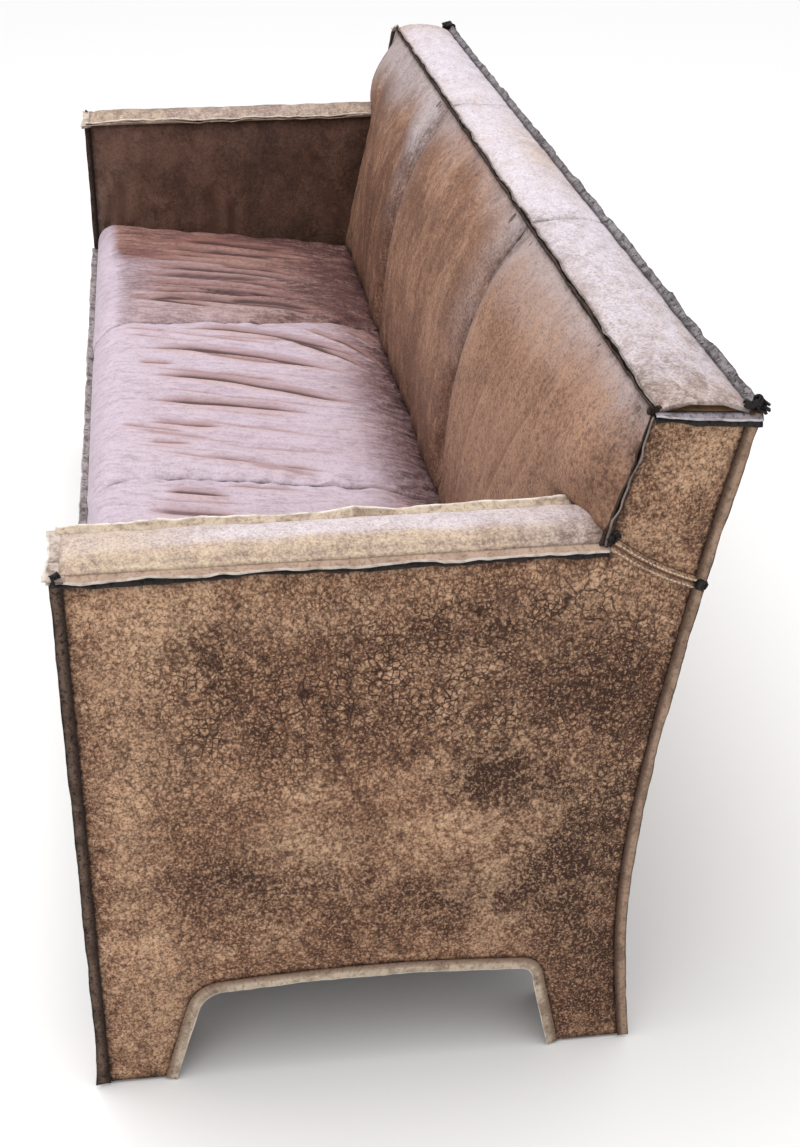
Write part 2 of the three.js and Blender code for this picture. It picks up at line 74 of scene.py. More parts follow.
LEATHER = 0.003              # thickness of the hide
RAW_PLY = 0.0021             # thickness of each of the two layers in a raw edge
COARSE = 8                   # the inner face of a panel is this many times coarser than its outer face
SEAT_STEP = 0.0027           # size of a grid step on each kind of panel
BACK_STEP = 0.0037
TOP_STEP = 0.0045
INNER_ARM_STEP = 0.005
SIDE_STEP = 0.0058
ARCH_STEP = 0.007
PLAIN_STEP = 0.009
SEAT_SLACK = 0.0060          # how far the slack leather of each kind of panel may stand off its foam
BACK_SLACK = 0.0050
TOP_SLACK = 0.0020
SEAT_ROLL = 0.034            # radius of the roll over the seat's front
SEAT_SLOPE = 0.125           # fall of the seat towards its rear, as a gradient
SEAT_CROWN = 0.012
SEAT_DEPTH = 0.010           # foam and leather that go with a seat panel
BACK_PUFF = 0.009
SEAM_PULL = 0.50             # how strongly the columns of a panel crowd towards its seams
ALLOWANCE = 0.0003           # gap between leather panels that meet
BEHIND = 0.0035              # how far a panel that ends behind another stays under its face
FAR_OFF = 9.0                # a distance to a seam that a panel doesn't have


def smooth(low, high, value):
    t = np.clip((value - low) / (high - low), 0.0, 1.0)
    return t * t * (3.0 - 2.0 * t)


def bell(value, width):
    return np.exp(-(value / width) ** 2)


# ---------------------------------------------------------------- noise

NOISE_TABLE = 64             # the noise repeats after this many features


def value_noise(u, v, seed):
    """Smooth noise from -1 to 1 over a plane, with a feature size of about 1."""
    table = np.random.RandomState(seed).uniform(-1.0, 1.0, (NOISE_TABLE, NOISE_TABLE))
    u, v = np.broadcast_arrays(np.asarray(u, float), np.asarray(v, float))
    iu, iv = np.floor(u).astype(int), np.floor(v).astype(int)
    fu, fv = u - iu, v - iv
    fu, fv = fu * fu * (3 - 2 * fu), fv * fv * (3 - 2 * fv)

    def corner(a, b):
        return table[(iu + a) % NOISE_TABLE, (iv + b) % NOISE_TABLE]

    low = corner(0, 0) * (1 - fu) + corner(1, 0) * fu
    high = corner(0, 1) * (1 - fu) + corner(1, 1) * fu
    return low * (1 - fv) + high * fv


def rough(u, v, size, seed, octaves=3):
    """Noise from about -1 to 1 whose largest features have that size in metres."""
    u, v = np.asarray(u), np.asarray(v)
    total = 0.0
    for k in range(octaves):
        scale = 2 ** k / size
        total = total + value_noise(u * scale + 7.3 * k, v * scale + 3.1 * k, seed + k) / 2 ** k
    return total / (2 - 0.5 ** (octaves - 1))


# ---------------------------------------------------------------- outlines, from the frame

def node_points(name):
    return np.array([v.co[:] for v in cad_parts[name].data.vertices])


def profile(points, key, value, pick):
    """The extreme value at each height or depth that a node's corners have."""
    found = {}
    for p in points:
        k = round(float(p[key]), 4)
        found[k] = pick(found.get(k, p[value]), p[value])
    keys = sorted(found)
    return np.array(keys), np.array([found[k] for k in keys])


REAR_Z, REAR_Y = profile(node_points("end_rear_panel_left"), 2, 1, max)
MID_Z, MID_Y = profile(node_points("back_panel_middle"), 2, 1, min)


def rear_y(z):
    """The rear outline of an end, and of the back: a smooth curve through the CAD's straight runs."""
    stations = np.linspace(REAR_Z[0], REAR_Z[-1], 15)
    smoothed = np.polynomial.Polynomial.fit(stations, np.interp(stations, REAR_Z, REAR_Y), 6)
    return smoothed(np.asarray(z, float))


ARCH_SPAN = (-0.30, 0.195)   # depths and height that hold the arch's corners and no others
ARCH_UNDER = 0.16


def arch_line():
    """Points (y, z) along the arch between the feet, front to rear."""
    corners = node_points("outer_side_panel_left")[:, 1:]
    between = {
        (round(y, 4), round(z, 4)) for y, z in corners
        if ARCH_SPAN[0] < y < ARCH_SPAN[1] and z < ARCH_UNDER
    }
    return np.array(sorted(between))


ARCH = arch_line()
KNEE_TOP_Z = float(ARCH[1, 1])
STRAIGHT_FROM_X = 0.6        # past here the back's face goes from curved to straight


def back_face(x, z):
    """Depth of the back's front face: curved between the ends, straight at the arms and wings."""
    middle = np.interp(z, MID_Z, MID_Y)
    slope = (MID_Y[-1] - MID_Y[0]) / (MID_Z[-1] - MID_Z[0])
    chord = MID_Y[0] + (z - MID_Z[0]) * slope
    end_x = INNER_X + (END_X - INNER_X) * smooth(ARM_SEAM_Z - 0.06, ARM_SEAM_Z + 0.08, z)
    outward = np.clip((np.abs(x) - STRAIGHT_FROM_X) / (end_x - STRAIGHT_FROM_X), 0.0, 1.0)
    return np.where(z > MID_Z[0], chord - (chord - middle) * (1.0 - outward ** 2), chord)


# ---------------------------------------------------------------- meshes

def add_mesh(name, points, faces, fields, side=1):
    """A mesh object, turned over to the other end of the sofa where side is -1."""
    points = np.array(points, float)
    if side < 0:
        points[:, 0] *= -1.0
        faces = [face[::-1] for face in faces]
    mesh = bpy.data.meshes.new(name)
    mesh.from_pydata(points.tolist(), [], faces)
    for key, values in fields.items():
        mesh.attributes.new(key, "FLOAT", "POINT").data.foreach_set("value", np.asarray(values, np.float32))
    mesh.polygons.foreach_set("use_smooth", [True] * len(mesh.polygons))
    mesh.update()
    piece = bpy.data.objects.new(name, mesh)
    bpy.context.scene.collection.objects.link(piece)
    return piece


def finished(piece, material, nodes=()):
    """Gives a piece its finish, hangs it under the root body and hides the CAD nodes it stands for."""
    piece.data.materials.append(material)
    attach(piece, "root")
    if nodes:
        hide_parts(*nodes)
    return piece


def grid_normals(grid):
    du = np.gradient(grid, axis=0)
    dv = np.gradient(grid, axis=1)
    normal = np.cross(du, dv)
    return normal / np.maximum(np.linalg.norm(normal, axis=2, keepdims=True), 1e-9)


def toward_ends(count, pull):
    """Shares from 0 to 1 that crowd towards both ends, for fine detail beside the seams."""
    even = np.linspace(0.0, 1.0, count)
    return even - pull * np.sin(2 * math.pi * even) / (2 * math.pi)


def steps(length, size):
    """How many steps of about that size fit, as a multiple of the coarse step."""
    return max(1, round(length / size / COARSE)) * COARSE


def shell(name, outer, thickness, fields, side=1):
    """A closed sheet with a fine outer face, a coarse inner face and a wall round the rim."""
    nu, nv = outer.shape[:2]
    rough_grid = outer[::COARSE, ::COARSE]
    inner = rough_grid - thickness * grid_normals(rough_grid)
    mu, mv = inner.shape[:2]
    points = np.concatenate([outer.reshape(-1, 3), inner.reshape(-1, 3)])
    fine = np.arange(nu * nv).reshape(nu, nv)
    back = nu * nv + np.arange(mu * mv).reshape(mu, mv)
    quads = np.stack([fine[:-1, :-1], fine[1:, :-1], fine[1:, 1:], fine[:-1, 1:]], -1).reshape(-1, 4)
    under = np.stack([back[:-1, :-1], back[:-1, 1:], back[1:, 1:], back[1:, :-1]], -1).reshape(-1, 4)
    faces = quads.tolist() + under.tolist()
    for edge, rim, forward in (
        (fine[:, 0], back[:, 0], False),
        (fine[:, -1], back[:, -1], True),
        (fine[0], back[0], True),
        (fine[-1], back[-1], False),
    ):
        for k in range(len(rim) - 1):
            run = edge[k * COARSE:(k + 1) * COARSE + 1].tolist()
            wall = run + [int(rim[k + 1]), int(rim[k])]
            faces.append(wall if forward else wall[::-1])
    every = {}
    for key, values in fields.items():
        values = np.broadcast_to(values, (nu, nv))
        every[key] = np.concatenate([values.ravel(), values[::COARSE, ::COARSE].ravel()])
    return add_mesh(name, points, faces, every, side)


def edge_field(u_length, v_length, nu, nv, width):
    """1 at the edges of a grid, falling to 0 that far in."""
    u = np.linspace(0, u_length, nu)[:, None]
    v = np.linspace(0, v_length, nv)[None, :]
    gap = np.minimum(np.minimum(u, u_length - u), np.minimum(v, v_length - v))
    return 1.0 - smooth(0.0, width, gap)


def resampled(path, step):
    """Points evenly spaced along a path, and their distances along it."""
    path = np.array(path, float)
    run = np.concatenate([[0.0], np.cumsum(np.linalg.norm(np.diff(path, axis=0), axis=1))])
    count = max(2, round(run[-1] / step) + 1)
    along = np.linspace(0.0, run[-1], count)
    return np.stack([np.interp(along, run, path[:, k]) for k in range(path.shape[1])], 1), along


def inside(points, outline):
    """Which points lie inside a closed outline."""
    result = np.zeros(len(points), bool)
    ends = np.roll(outline, -1, axis=0)
    for (ay, az), (by, bz) in zip(outline, ends):
        if az == bz:
            continue
        crosses = (az > points[:, 1]) != (bz > points[:, 1])
        at = ay + (points[:, 1] - az) * (by - ay) / (bz - az)
        result ^= crosses & (points[:, 0] < at)
    return result


def outline_panel(name, outline, step, seed, relief, side):
    """A leather panel on an end's outer face, cut to an outline (y, z) and pillowed up to its seams.
    relief gives the height and the fields from each point's place and distance to the edge."""
    rim = resampled(np.vstack([outline, outline[:1]]), step)[0][:-1]
    low, high = rim.min(0), rim.max(0)
    ys, zs = np.meshgrid(np.arange(low[0], high[0], step), np.arange(low[1], high[1], step))
    loose = np.stack([ys.ravel(), zs.ravel()], 1)
    loose += np.random.RandomState(seed).uniform(-0.28, 0.28, loose.shape) * step
    loose = loose[inside(loose, rim)]

    def to_rim(places):
        """The distance from each place to the outline, worked out in parts to save memory."""
        nearest = []
        for part in np.array_split(places, 40):
            nearest.append(np.sqrt(((part[:, None, :] - rim[None]) ** 2).sum(2)).min(1))
        return np.concatenate(nearest)

    loose = loose[to_rim(loose) > 0.55 * step]
    flat = np.concatenate([rim, loose])
    ring = len(rim)
    edges = [(k, (k + 1) % ring) for k in range(ring)]
    cut = delaunay_2d_cdt([Vector(p) for p in flat], edges, [], 1, 1e-7)
    places = np.array([p[:] for p in cut[0]])
    triangles = []
    for face in cut[2]:
        a, b, c = (places[k] for k in face[:3])
        turn = (b[0] - a[0]) * (c[1] - a[1]) - (b[1] - a[1]) * (c[0] - a[0])
        triangles.append(list(face) if turn > 0 else list(face)[::-1])
    distance = to_rim(places)
    height, fields = relief(places[:, 0], places[:, 1], distance)
    outer = np.column_stack([END_X + height, places])
    start = len(outer)
    back = np.column_stack([np.full(ring, END_X - LEATHER), places[:ring]])
    faces = triangles
    for k in range(ring):
        after = (k + 1) % ring
        faces.append([after, k, start + k, start + after])
    faces.append([start + k for k in range(ring)][::-1])
    fields = {key: np.concatenate([values, values[:ring]]) for key, values in fields.items()}
    return add_mesh(name, np.concatenate([outer, back]), faces, fields, side)


# ---------------------------------------------------------------- raw edges, stitches and scraps

def unit(vectors):
    vectors = np.asarray(vectors, float)
    return vectors / np.linalg.norm(vectors, axis=-1, keepdims=True)


RAW_STATIONS = (-0.25, 0.25, 0.6, 0.88, 1.0)     # across a raw edge, from inside the seam to the cut
RAW_STEP = 0.0045                                # along a raw edge


def tube_faces(rings, loop):
    """The faces of a closed tube whose points come ring by ring, with its two ends."""
    faces = []
    for i in range(rings - 1):
        for k in range(loop):
            after = (k + 1) % loop
            faces.append([i * loop + k, i * loop + after, (i + 1) * loop + after, (i + 1) * loop + k])
    faces.append(list(range(loop))[::-1])
    faces.append([(rings - 1) * loop + k for k in range(loop)])
    return faces


def raw_layer(path, outward, across, reach, sway, offset):
    """One layer of leather as a closed strip. Returns its points, faces and place across the edge."""
    rows = []
    marks = []
    for top in (1, -1):
        order = RAW_STATIONS if top > 0 else RAW_STATIONS[::-1]
        for share in order:
            lift = offset(share) + sway * max(share, 0.0) ** 1.5 + top * RAW_PLY / 2
            out = outward * (reach * share)[:, None]
            rows.append(path + out + across * np.asarray(lift)[:, None])
            marks.append(np.full(len(path), max(share, 0.0)))
    points = np.stack(rows, 1).reshape(-1, 3)
    return points, tube_faces(len(path), len(rows)), np.stack(marks, 1).ravel()


def signed_volume(points, faces):
    total = 0.0
    for face in faces:
        a = points[face[0]]
        for k in range(1, len(face) - 1):
            total += np.dot(a, np.cross(points[face[k]], points[face[k + 1]]))
    return total


def joined_parts(parts):
    """Several closed bodies as one list of points, faces and marks, each with its faces out."""
    points, faces, marks = [], [], []
    start = 0
    for part_points, part_faces, part_marks in parts:
        if signed_volume(part_points, part_faces) < 0:
            part_faces = [face[::-1] for face in part_faces]
        faces += [[k + start for k in face] for face in part_faces]
        points.append(part_points)
        marks.append(part_marks)
        start += len(part_points)
    return np.concatenate(points), faces, np.concatenate(marks)


def raw_edge(name, path, outward, across, seed, width, wave=0.0022, ragged=0.16, side=1, fray=(0, 0),
             droop=0.0, root=0.0, behind=0.85, apart=0.0):
    """The raw edges of a seam: two wavy layers that stand out, one behind the other. outward is a
    direction, or a function that gives one for each point. fray widens the ends, droop bends them over,
    root is how far from dark they start, behind is the second's reach and apart is how much further it
    droops."""
    path, along = resampled(path, RAW_STEP)
    outward = unit(np.broadcast_to(outward(path) if callable(outward) else outward, path.shape))
    across = unit(np.broadcast_to(across, path.shape))
    start = 1.0 + fray[0] * bell(along, 0.03)
    end = 1.0 + fray[1] * bell(along[-1] - along, 0.03)
    parts = []
    for layer in (1, -1):
        cut = rough(along, layer * 3.0, 0.035, seed + layer, 4)
        reach = width * (1.0 + ragged * cut) * start * end * (1.0 if layer > 0 else behind)
        ripple = rough(along, 0.5, 0.055, seed + 11, 3) * 1.3
        sway = wave * (ripple + 0.45 * rough(along, layer * 2.0, 0.016, seed + 17, 2))
        splay = 0.0009 * (1.2 + rough(along, layer * 5.0, 0.03, seed + 23, 2))
        fall = droop if layer > 0 else droop + apart

        def offset(share, layer=layer, splay=splay):
            return layer * (RAW_PLY / 2 + splay * max(share, 0.0))

        points, faces, marks = raw_layer(path, outward, across, reach, sway - fall, offset)
        parts.append((points, faces, root + (1.0 - root) * marks if layer > 0 else 0.8 * marks * behind))
    points, faces, marks = joined_parts(parts)
    return add_mesh(name, points, faces, {"cut": marks}, side)


def curl(centre, axis, radius, width, turns, seed):
    """A scrap of leather rolled up round an axis, as one closed strip."""
    axis = unit(axis)
    first = unit(np.cross(axis, [0.31, 0.17, 0.93]))
    second = np.cross(axis, first)
    sweep = np.linspace(0.0, 1.0, max(14, int(20 * turns)))
    angle = 2 * math.pi * turns * sweep
    size = radius * (0.3 + 0.7 * sweep) * (1 + 0.12 * rough(sweep, 0.0, 0.3, seed, 2))
    spoke = np.cos(angle)[:, None] * first + np.sin(angle)[:, None] * second
    path = np.asarray(centre) + size[:, None] * spoke
    reach = width * (1.0 + 0.25 * rough(sweep, 1.0, 0.25, seed + 5, 3))
    waver = 0.001 * np.sin(9 * sweep)

    def flat(share):
        return np.zeros(len(sweep))

    return raw_layer(path, np.broadcast_to(axis, path.shape), unit(spoke), reach, waver, flat)


def clump(name, centre, reach, scraps, seed, side=1):
    """A frayed knot of leather scraps where several seams end together."""
    random = np.random.RandomState(seed)
    parts = []
    for k in range(scraps):
        place = np.asarray(centre) + random.uniform(-0.4, 0.4, 3) * reach
        axis = random.uniform(-1.0, 1.0, 3)
        parts.append(curl(place, axis, reach * random.uniform(0.3, 0.6), reach * random.uniform(0.5, 0.9),
                          random.uniform(0.45, 1.3), seed + k))
    points, faces, marks = joined_parts(parts)
    return add_mesh(name, points, faces, {"cut": marks}, side)


THREAD_RINGS = 5
THREAD_SIDES = 6


def stitch(start, end, up, radius):
    """One stitch: a short thread that rises out of the leather and goes back in."""
    run = unit(end - start)
    beside = np.cross(run, up)
    points = []
    for t in np.linspace(0.0, 1.0, THREAD_RINGS):
        middle = start + (end - start) * t + up * (radius * (2.2 * math.sin(math.pi * t) - 0.9))
        for k in range(THREAD_SIDES):
            a = 2 * math.pi / THREAD_SIDES * k
            points.append(middle + radius * (math.cos(a) * up + math.sin(a) * beside))
    points = np.array(points)
    return points, tube_faces(THREAD_RINGS, THREAD_SIDES), np.zeros(len(points))


def stitching(name, path, up, pitch, length, radius, side=1):
    """A row of stitches along a path. up is the direction away from the leather."""
    places = resampled(path, pitch)[0]
    parts = []
    for here, after in zip(places[:-1], places[1:]):
        run = unit(after - here)
        parts.append(stitch(here, here + run * length, unit(up), radius))
    points, faces, marks = joined_parts(parts)
    return add_mesh(name, points, faces, {"cut": marks}, side)


# ---------------------------------------------------------------- materials

class Finish:
    """A material under construction, with a short call for each node that it needs."""

    def __init__(self, name):
        self.material = bpy.data.materials.new(name)
        self.material.use_nodes = True
        self.tree = self.material.node_tree
        self.tree.nodes.clear()
        self.shader = self.tree.nodes.new("ShaderNodeBsdfPrincipled")
        output = self.tree.nodes.new("ShaderNodeOutputMaterial")
        self.tree.links.new(self.shader.outputs["BSDF"], output.inputs["Surface"])
        self.place = self.tree.nodes.new("ShaderNodeTexCoord").outputs["Object"]

    def put(self, socket, value):
        if isinstance(value, bpy.types.NodeSocket):
            self.tree.links.new(value, socket)
        else:
            socket.default_value = value

    def stretched(self, scale):
        node = self.tree.nodes.new("ShaderNodeMapping")
        self.tree.links.new(self.place, node.inputs["Vector"])
        node.inputs["Scale"].default_value = scale
        return node.outputs["Vector"]

    def noise(self, scale, detail=4.0, roughness=0.55, distortion=0.0, place=None):
        node = self.tree.nodes.new("ShaderNodeTexNoise")
        self.put(node.inputs["Vector"], place or self.place)
        node.inputs["Scale"].default_value = scale
        node.inputs["Detail"].default_value = detail
        node.inputs["Roughness"].default_value = roughness
        node.inputs["Distortion"].default_value = distortion
        return node.outputs["Fac"]

    def cells(self, scale, feature="F1", place=None, randomness=1.0):
        node = self.tree.nodes.new("ShaderNodeTexVoronoi")
        node.feature = feature
        self.put(node.inputs["Vector"], place or self.place)
        node.inputs["Scale"].default_value = scale
        node.inputs["Randomness"].default_value = randomness
        return node.outputs["Distance"]

    def field(self, name):
        node = self.tree.nodes.new("ShaderNodeAttribute")
        node.attribute_name = name
        return node.outputs["Fac"]

    def calc(self, operation, *values):
        node = self.tree.nodes.new("ShaderNodeMath")
        node.operation = operation
        for socket, value in zip(node.inputs, values):
            self.put(socket, value)
        return node.outputs["Value"]

    def times(self, a, b):
        return self.calc("MULTIPLY", a, b)

    def plus(self, a, b):
        return self.calc("ADD", a, b)

    def span(self, value, low, high, out_low=0.0, out_high=1.0):
        node = self.tree.nodes.new("ShaderNodeMapRange")
        node.interpolation_type = "SMOOTHSTEP"
        limits = {"Value": value, "From Min": low, "From Max": high, "To Min": out_low, "To Max": out_high}
        for key, number in limits.items():
            self.put(node.inputs[key], number)
        return node.outputs["Result"]

    def ramp(self, value, stops):
        node = self.tree.nodes.new("ShaderNodeValToRGB")
        self.put(node.inputs["Fac"], value)
        elements = node.color_ramp.elements
        while len(elements) < len(stops):
            elements.new(0.5)
        for element, (at, colour) in zip(elements, stops):
            element.position = at
            element.color = (*colour, 1.0)
        return node.outputs["Color"]

    def mix(self, factor, a, b):
        """Colour a, going over to colour b as the factor goes from 0 to 1."""
        node = self.tree.nodes.new("ShaderNodeMix")
        node.data_type = "RGBA"
        colour_a, colour_b = (socket for socket in node.inputs if socket.type == "RGBA")
        self.put(node.inputs["Factor"], factor)
        for socket, value in ((colour_a, a), (colour_b, b)):
            self.put(socket, value if isinstance(value, bpy.types.NodeSocket) else (*value, 1.0))
        return next(socket for socket in node.outputs if socket.type == "RGBA")

    def bump(self, height, strength, distance, under=None):
        node = self.tree.nodes.new("ShaderNodeBump")
        node.inputs["Strength"].default_value = strength
        node.inputs["Distance"].default_value = distance
        self.put(node.inputs["Height"], height)
        if under is not None:
            self.put(node.inputs["Normal"], under)
        return node.outputs["Normal"]

    def done(self, colour, roughness, normal=None, **constants):
        self.put(self.shader.inputs["Base Color"], colour)
        self.put(self.shader.inputs["Roughness"], roughness)
        if normal is not None:
            self.put(self.shader.inputs["Normal"], normal)
        for key, value in constants.items():
            self.shader.inputs[key.replace("_", " ")].default_value = value
        return self.material


CRACK_WARP = 0.7             # how far cracks wander, as a share of the cells between them


def darker(colour, share):
    return tuple(part * share for part in colour)


def cracks(f, scale, width, amount):
    """Thin dark lines of dried-out finish, as the edges of warped cells, where a broad noise allows them."""
    shift = f.tree.nodes.new("ShaderNodeTexNoise")
    shift.inputs["Scale"].default_value = scale * 0.9
    shift.inputs["Detail"].default_value = 1.0
    f.put(shift.inputs["Vector"], f.place)
    scaled = f.tree.nodes.new("ShaderNodeVectorMath")
    scaled.operation = "SCALE"
    scaled.inputs["Scale"].default_value = CRACK_WARP / scale
    f.put(scaled.inputs[0], shift.outputs["Color"])
    warped = f.tree.nodes.new("ShaderNodeVectorMath")
    warped.operation = "ADD"
    f.put(warped.inputs[0], f.place)
    f.put(warped.inputs[1], scaled.outputs["Vector"])
    lines = f.span(f.cells(scale, "DISTANCE_TO_EDGE", warped.outputs["Vector"]), 0.0, width, 1.0, 0.0)
    allowed = f.span(f.noise(scale * 0.22, 4.0, 0.7), 0.40, 0.56, 0.06, amount)
    return f.times(lines, allowed)


def leather(name, tones, bloom, stretch=(1, 1, 1), speckle=0.5, crackle=0.6, gloss=0.5, streaks=0.0,
            specular=0.3):
    """Worn leather. tones are dark, middle and light; the colour after them is laid over the hide: painted
    sheen, the reflection of the bright surround, on the seat, back and tops, and a pale tone on the ends and
    inner arms.
    The fields of the mesh place it: the sheen and pale tone, dark patches of the hide with painted shade,
    fold (dark: painted shade in fold valleys, with the darker creased leather there), ridge (pale: light
    patches of the hide, and painted highlight on fold ridges), edge (grime at seams and rims, and painted
    shade where a panel tucks into a crease) and web (more cracks). stretch squeezes the patches along an
    axis, and streaks run the other way."""
    f = Finish(name)
    dark, middle, light = tones
    run = f.stretched(stretch)
    broad = f.noise(5.0, 3.0, 0.6, 0.4)
    patch = f.noise(26.0, 5.0, 0.65, 0.8, run)
    fine = f.noise(140.0, 4.0, 0.78)
    grit = f.noise(320.0, 3.0, 0.72)
    uneven = f.plus(patch, fine)
    mottle = f.plus(f.calc("MULTIPLY_ADD", broad, 0.9, f.times(patch, 0.8)), f.times(fine, 1.6 * speckle))
    centre = 0.85 + 0.8 * speckle
    base = f.ramp(f.span(mottle, centre - 0.36, centre + 0.36), [(0.0, dark), (0.5, middle), (1.0, light)])
    if streaks:
        lines = f.noise(46.0, 5.0, 0.72, 0.0, f.stretched(tuple(1.0 if s > 1 else 0.12 for s in stretch)))
        base = f.mix(f.span(lines, 0.47, 0.62, 0.0, streaks), base, dark)
    # Painted sheen on the seat, back and tops, and a pale tone elsewhere, laid over the hide where the mesh
    # asks.
    sheen_and_film_share = f.times(f.field("bloom"), f.span(f.plus(patch, f.times(fine, 0.8)), 0.55, 1.15, 0.55, 1.12))
    base = f.mix(f.calc("MINIMUM", sheen_and_film_share, 1.0), base, bloom)
    # Paler on ridges: light patches of the hide, and painted highlight along fold ridges.
    base = f.mix(f.times(f.field("ridge"), f.span(fine, 0.35, 0.62, 0.25, 1.0)), base, light)
    # Dark patches of the hide, and painted shade where the mesh asks for it.
    stain = f.times(f.field("stain"), f.span(uneven, 0.80, 1.18, 1.25, 0.45))
    base = f.mix(f.calc("MINIMUM", stain, 1.0), base, darker(dark, 0.75))
    base = f.mix(f.span(grit, 0.50, 0.62, 0.0, 0.85 * speckle), base, darker(dark, 0.7))
    base = f.mix(f.span(grit, 0.49, 0.37, 0.0, 0.75 * speckle), base, light)
    web = f.calc("MINIMUM", f.plus(f.field("web"), 0.4), 1.0)
    wide = cracks(f, 46.0, 0.055, crackle)
    lines = f.calc("MAXIMUM", wide, cracks(f, 118.0, 0.15, crackle))
    base = f.mix(f.times(lines, web), base, darker(dark, 0.5))
    # Fold valleys: painted shade, with the darker creased leather there.
    fold = f.field("fold")
    base = f.mix(f.span(fold, 0.06, 0.5, 0.0, 0.6), base, middle)
    base = f.mix(f.span(fold, 0.38, 0.9, 0.0, 0.95), base, darker(dark, 0.7))
    # Grime along seams and rims, and painted shade where a panel tucks into a crease.
    dirt_and_shade = f.times(f.field("edge"), f.span(uneven, 0.8, 1.25, 1.0, 0.5))
    base = f.mix(dirt_and_shade, base, darker(dark, 0.35))
    pebble = f.plus(f.cells(330.0), f.times(fine, 0.8))
    normal = f.bump(pebble, 0.35, 0.0009)
    normal = f.bump(wide, 0.3, -0.0009, normal)
    normal = f.bump(f.noise(34.0, 3.0, 0.6, 0.0, run), 0.25, 0.004, normal)
    sheen = f.span(uneven, 0.7, 1.3, 0.76 - 0.36 * gloss, 0.92 - 0.34 * gloss)
    return f.done(base, sheen, normal, Specular_IOR_Level=specular)


def raw_leather(name, root, body, cut_tone, dark_specks=0.5, cut_from=0.86, blotches=0.8):
    """The flesh side and cut of a raw edge: dark at the seam, pale and fuzzy at the cut."""
    f = Finish(name)
    dark = darker(root, 0.25)
    speck = f.noise(210.0, 6.0, 0.75, 0.3)
    patch = f.noise(38.0, 4.0, 0.6, 0.5)
    base = f.mix(f.span(f.field("cut"), 0.0, 0.45), root, body)
    base = f.mix(f.span(patch, 0.42, 0.66, 0.0, blotches), base, root)
    base = f.mix(f.span(speck, 0.5, 0.62, 0.0, dark_specks), base, dark)
    pale = f.times(f.span(f.field("cut"), cut_from, 0.99), f.span(f.noise(70.0, 3.0), 0.35, 0.6, 0.4, 1.0))
    base = f.mix(pale, base, cut_tone)
    normal = f.bump(f.plus(speck, f.noise(600.0, 2.0)), 0.7, 0.0012)
    return f.done(base, f.span(speck, 0.3, 0.7, 0.72, 0.95), normal, Specular_IOR_Level=0.2)


def wood(name, dark, light, along, plies=0.0):
    """Sawn timber with its grain along one axis, or plywood with its plies across another."""
    f = Finish(name)
    scale = tuple(1.0 if k == along else 14.0 for k in range(3))
    rings = f.noise(6.0, 6.0, 0.62, 1.4, f.stretched(scale))
    pores = f.noise(60.0, 3.0, 0.7, 0.0, f.stretched(scale))
    base = f.ramp(f.span(rings, 0.3, 0.7), [(0.0, dark), (1.0, light)])
    base = f.mix(f.span(pores, 0.55, 0.75, 0.0, 0.5), base, darker(dark, 0.5))
    if plies:
        glue = f.calc("PINGPONG", f.times(f.noise(1.0, 0.0, 0.0, 0.0, f.stretched((0, 0, plies))), 40.0), 1.0)
        base = f.mix(f.span(glue, 0.75, 0.95, 0.0, 0.5), base, dark)
    sheen = f.span(pores, 0.3, 0.7, 0.6, 0.85)
    return f.done(base, sheen, f.bump(pores, 0.3, 0.0008), Specular_IOR_Level=0.25)


def dust_cloth(name):
    """Black non-woven lining with a faint square emboss."""
    f = Finish(name)
    fibre = f.noise(900.0, 3.0, 0.7)
    weave = f.cells(420.0, "F1", None, 0.0)
    tones = [(0.35, (0.008, 0.008, 0.009)), (0.8, (0.03, 0.03, 0.032))]
    base = f.ramp(f.plus(fibre, f.times(weave, 0.3)), tones)
    sheen = f.span(fibre, 0.3, 0.7, 0.85, 1.0)
    return f.done(base, sheen, f.bump(weave, 0.5, 0.0006), Specular_IOR_Level=0.1)


def worn_nylon(name):
    """Moulded dark plastic, scuffed from being pushed over floors."""
    f = Finish(name)
    scuffs = f.noise(120.0, 5.0, 0.7, 0.0, f.stretched((1, 6, 1)))
    base = f.ramp(scuffs, [(0.4, (0.018, 0.017, 0.016)), (0.75, (0.08, 0.075, 0.07))])
    return f.done(base, f.span(scuffs, 0.4, 0.7, 0.4, 0.75), f.bump(scuffs, 0.3, 0.0004))


def waxed_thread(name, tone):
    """Twisted sewing thread, grubby in places."""
    f = Finish(name)
    twist = f.noise(700.0, 2.0, 0.6)
    grime = f.noise(45.0, 3.0)
    base = f.mix(f.span(grime, 0.45, 0.7, 0.0, 0.6), tone, darker(tone, 0.3))
    return f.done(base, 0.75, f.bump(twist, 0.5, 0.0005), Specular_IOR_Level=0.25)


# ---------------------------------------------------------------- colours

# The tones of a hide are dark, middle and light. The lilacs are the painted sheen, the reflection of the
# bright surround, on the seat, back and tops; the dusty colours are a pale tone over the ends and inner arms.
SIDE_TONES = ((0.070, 0.029, 0.018), (0.285, 0.147, 0.087), (0.68, 0.44, 0.28))
INNER_TONES = ((0.032, 0.013, 0.009), (0.10, 0.046, 0.030), (0.19, 0.10, 0.068))
SEAT_TONES = ((0.092, 0.038, 0.040), (0.25, 0.115, 0.095), (0.50, 0.32, 0.27))
BACK_TONES = ((0.085, 0.038, 0.026), (0.205, 0.098, 0.060), (0.42, 0.245, 0.160))
TOP_TONES = ((0.22, 0.14, 0.115), (0.44, 0.32, 0.26), (0.66, 0.52, 0.37))
LILAC = (0.555, 0.465, 0.545)
PALE_LILAC = (0.68, 0.625, 0.70)
GREY_LILAC = (0.45, 0.39, 0.40)
DUSTY_TAN = (0.55, 0.43, 0.36)
DUSTY_BROWN = (0.36, 0.27, 0.23)
CHALK = (0.80, 0.75, 0.68)
DARK_HIDE = (0.035, 0.021, 0.016)

# ---------------------------------------------------------------- folds

